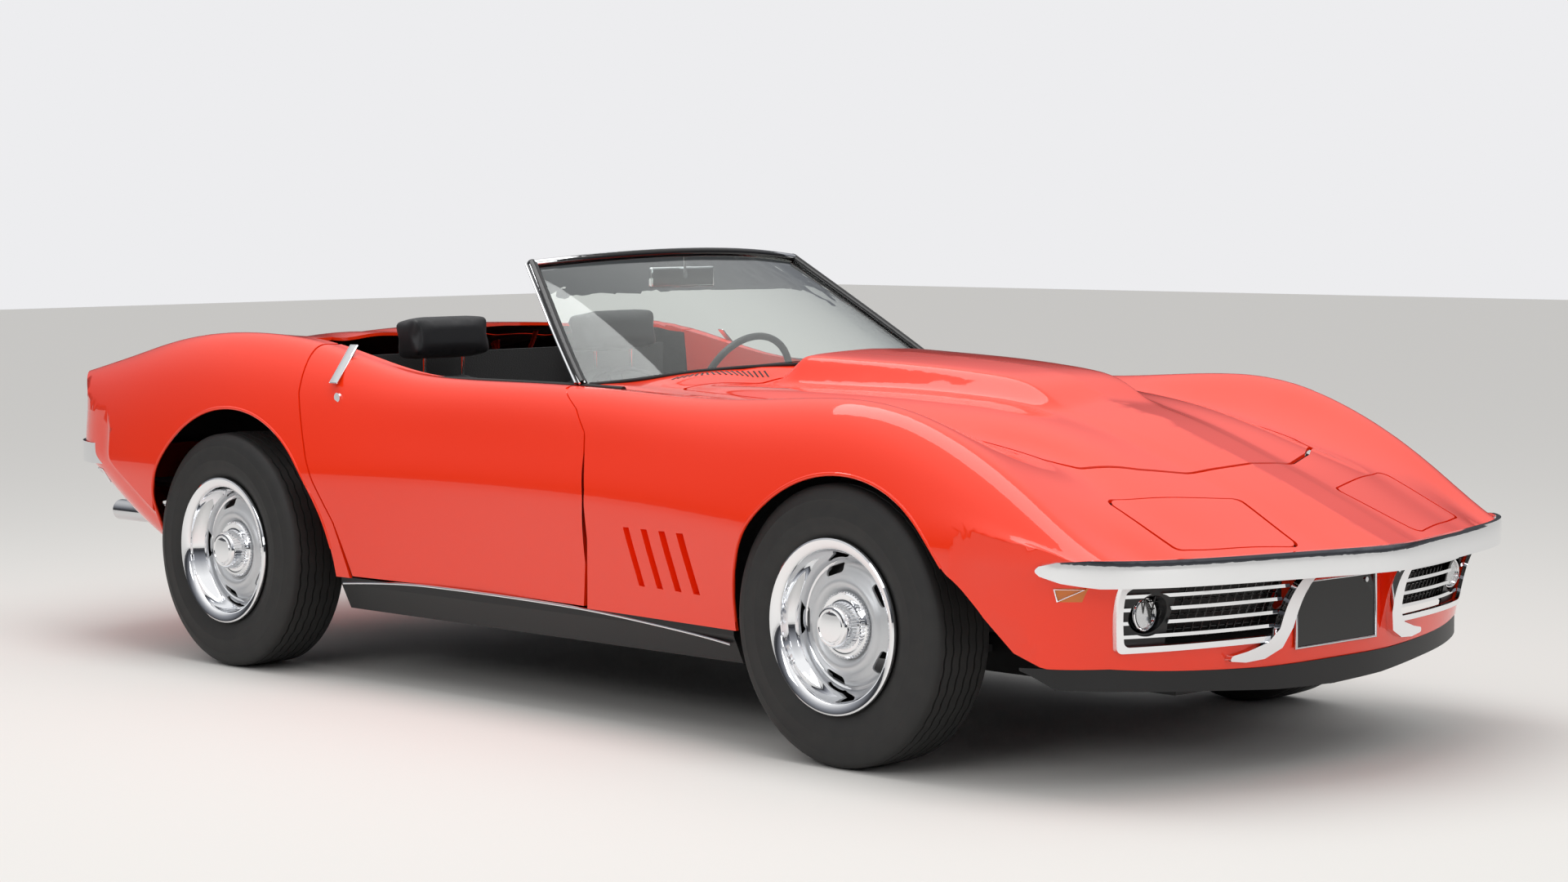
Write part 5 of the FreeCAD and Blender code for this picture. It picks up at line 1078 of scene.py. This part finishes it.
together([(pillar_bead, 12, 4), (pillar_bead, 2, 14), (pillar_bead, 15, -10)])
settled(60)
paired("pillar_beads", bright, "bright_metal")
traced(across_car([(x + 3, y, HEADER_TOP - HEADER_DROP * y * y) for x, y in HEADER_LINE]), 11)
settled(60)
named("header_moulding", bright, "bright_metal")
# A ray down the very middle would pass between the skin's two halves, so the last point is 1 mm beside it
traced(across_car([lifted(on_top(x + 8, max(y, 1)), 3) for x, y in GLASS_FOOT]), 6)
settled(60)
named("windscreen_seal", rubber_seal, "black_plastic")


# Inside mirror under the header
slab(-156, -141, -119, 119, 1090, 1148, 6, 4)
named("mirror_housing", bright, "bright_metal", "car", "interior_mirror")
slab(-158, -155, -113, 113, 1095, 1143, 1)
named("mirror_glass", dark_chrome, "bright_metal")
slab(-140.5, -139, -112, 112, 1096, 1142, 0.5)
named("mirror_back", gloss_black_and_vent_shade, "bright_metal")
together([(rolled, 5, 60, (-136, 0, 1152), "Z"), (rolled, 9, 8, (-136, 0, 1125), "X", 2)])
settled()
named("mirror_stalk", bright, "bright_metal")


# Doors: inner panels, top seals, flush handles and locks, each on its own door
DOOR_INNER = 655
DOOR_OUTLINE = [(-790, 350), (-835, 640), (-830, 800), (-600, 830), (-200, 835), (200, 842), (330, 835),
                (345, 600), (305, 350)]
DOOR_TOP = [(-790, 838), (-600, 826), (-300, 832), (0, 838), (200, 846), (370, 852)]


def door_panel():
    """A padded vinyl panel on the door's inner face."""
    plated([(x, DOOR_INNER - 6, z) for x, z in DOOR_OUTLINE], (0, 4.5, 0))
    edited()
    bpy.ops.mesh.bevel(offset=1.5 * MM, segments=2, affect="EDGES")
    settled()


def arm_rest():
    slab(-560, -80, DOOR_INNER - 42, DOOR_INNER - 6, 640, 690, 12)


def pull_trim():
    together([(traced, [(-700, DOOR_INNER - 9, z), (250, DOOR_INNER - 9, z + 6)], 2.5) for z in (560, 600)])
    settled()


def door_cap():
    """The black roll along the door's inner top edge."""
    traced([(x, 668, min(on_top(x, 700)[0].z - 2, z + 22)) for x, z in DOOR_TOP], 9)
    settled(60)


def flap_handle():
    """The flush trap handle in the door's rear top."""
    slab(-70, 70, -15, 15, -1.0, 2.2, 3)
    laid(*on_top(-735, 742))


def door_lock():
    rolled(13, 7, on_side(-707, 794)[0], "Y", 2.5)


for side in ("left", "right"):
    for name, maker, finish, slot in (("door_trim_panel", door_panel, vinyl, "black_vinyl"),
                                      ("door_arm_rest", arm_rest, vinyl, "black_vinyl"),
                                      ("door_pull_trim", pull_trim, bright, "bright_metal"),
                                      ("door_top_roll", door_cap, rubber_seal, "black_vinyl"),
                                      ("door_handle", flap_handle, stainless, "bright_metal"),
                                      ("door_lock", door_lock, bright, "bright_metal")):
        maker()
        if side == "right":
            edited()
            mirrored()
        named(f"{name}_{side}", finish, slot, f"door_{side}")


# Trim along the body: sill strips, and black patches of painted shade in the cowl vent openings
SILL_STRIP = [(-718, 272), (-480, 293), (-190, 295), (90, 293), (350, 288), (600, 273), (790, 259),
              (875, 249)]
traced([(x, 766, z) for x, z in SILL_STRIP], 4)
paired("sill_strips", bright, "bright_metal")


# Each slot is a black patch set into the skin: painted shade that stands in for the dark inside of a vent
# opening
def vent_shade_patch(x, y):
    slab(-15, 15, -3.0, 3.0, -3, 0.8, 0.7, 1)
    laid(*on_top(x, y))


together([(vent_shade_patch, 462 - 0.30 * (y - 250), y) for y in range(250, 520, 15)])
paired("cowl_vent_shade_patches", gloss_black_and_vent_shade, "black_plastic")


# Tail lamp rims
TAIL_LAMP_Z = 705


def lamp_rim(y):
    hit = skin.tree.ray_cast(Vector((-3000, y, TAIL_LAMP_Z)) * MM, Vector((1, 0, 0)))
    ring((hit[0].x / MM, y, TAIL_LAMP_Z), 50, 4, 40)


together([(lamp_rim, 330), (lamp_rim, 530)])
paired("tail_lamp_rims", bright, "bright_metal")


# Inside: dials and gear lever
DIALS_Y, DIALS_Z = (330, 460), 757
together([(rolled, 44, 6, (185, y, DIALS_Z), "X", 2) for y in DIALS_Y])
settled()
named("dial_bezels", bright, "bright_metal")
together([(rolled, 40, 6, (183, y, DIALS_Z), "X", 1) for y in DIALS_Y])
settled()
named("dial_faces", gloss_black_and_vent_shade, "dash_black")
together([(rolled, 21, 6, (184, y, z), "X", 1.5) for y in (-60, 0, 60) for z in (720, 768)])
settled()
named("small_dials", gloss_black_and_vent_shade, "dash_black")
rolled(7, 150, (-120, 0, 700), "Z", 2)
named("gear_lever", bright, "bright_metal")
bpy.ops.object.select_all(action="DESELECT")
bpy.ops.mesh.primitive_uv_sphere_add(radius=24 * MM, location=(-120 * MM, 0, 780 * MM), segments=32,
                                     ring_count=20)
bpy.ops.object.transform_apply()
settled(80)
named("gear_knob", gloss_black_and_vent_shade, "dash_black")


# Floor, backdrop and light
def pale(name, code):
    # Matt studio paper: one even pale colour with no gloss, so that only the car's shadow shows on it.
    return surface(name, Base_Color=linear(code), Roughness=0.75)[0]


bpy.ops.object.select_all(action="DESELECT")
bpy.ops.mesh.primitive_plane_add(size=60, location=(0, 0, 0))
floor = bpy.context.object
floor.name = "studio_floor"
floor.data.materials.append(pale("pale floor", "E0DEDA"))


def soft_lamp(name, place, target, width, height, power):
    light = bpy.data.lights.new(name, "AREA")
    light.shape, light.size, light.size_y, light.energy = "RECTANGLE", width, height, power
    lamp = bpy.data.objects.new(name, light)
    bpy.context.collection.objects.link(lamp)
    lamp.location = place
    lamp.rotation_euler = (Vector(target) - Vector(place)).to_track_quat("-Z", "Y").to_euler()


soft_lamp("overhead", (0, -0.5, 5.0), (0, 0, 0), 6.0, 2.6, 130)
soft_lamp("side", (2.0, -6.5, 3.2), (0, 0, 0.5), 5.0, 1.6, 60)
soft_lamp("front", (7.5, -1.0, 2.6), (1, 0, 0.5), 2.4, 1.6, 40)


def studio_world():
    """A pale backdrop for the camera, and for reflections a sky bright overhead and dim near the floor."""
    world = bpy.data.worlds.new("studio")
    bpy.context.scene.world = world
    world.use_nodes = True
    tree = world.node_tree
    tree.nodes.clear()
    up = node(tree, "SeparateXYZ", {"Vector": node(tree, "TexCoord").outputs["Generated"]}).outputs["Z"]
    ramp = node(tree, "ValToRGB", {"Fac": up})
    stops = ramp.color_ramp.elements
    stops[0].position, stops[0].color = 0.0, linear("4A4B4E")
    stops[1].position, stops[1].color = 0.75, linear("FFFFFF")
    for place, code in ((0.06, "35363A"), (0.3, "8E9096")):
        stop = stops.new(place)
        stop.color = linear(code)
    sky = node(tree, "Background", {"Color": ramp.outputs[0], "Strength": 1.0})
    seen = node(tree, "Background", {"Color": linear("EDEDEF"), "Strength": 1.0})
    is_camera = node(tree, "LightPath").outputs["Is Camera Ray"]
    mix = node(tree, "MixShader", {0: is_camera, 1: sky.outputs[0], 2: seen.outputs[0]})
    node(tree, "OutputWorld", {"Surface": mix.outputs[0]})


studio_world()
bpy.context.scene.view_settings.view_transform = "Standard"
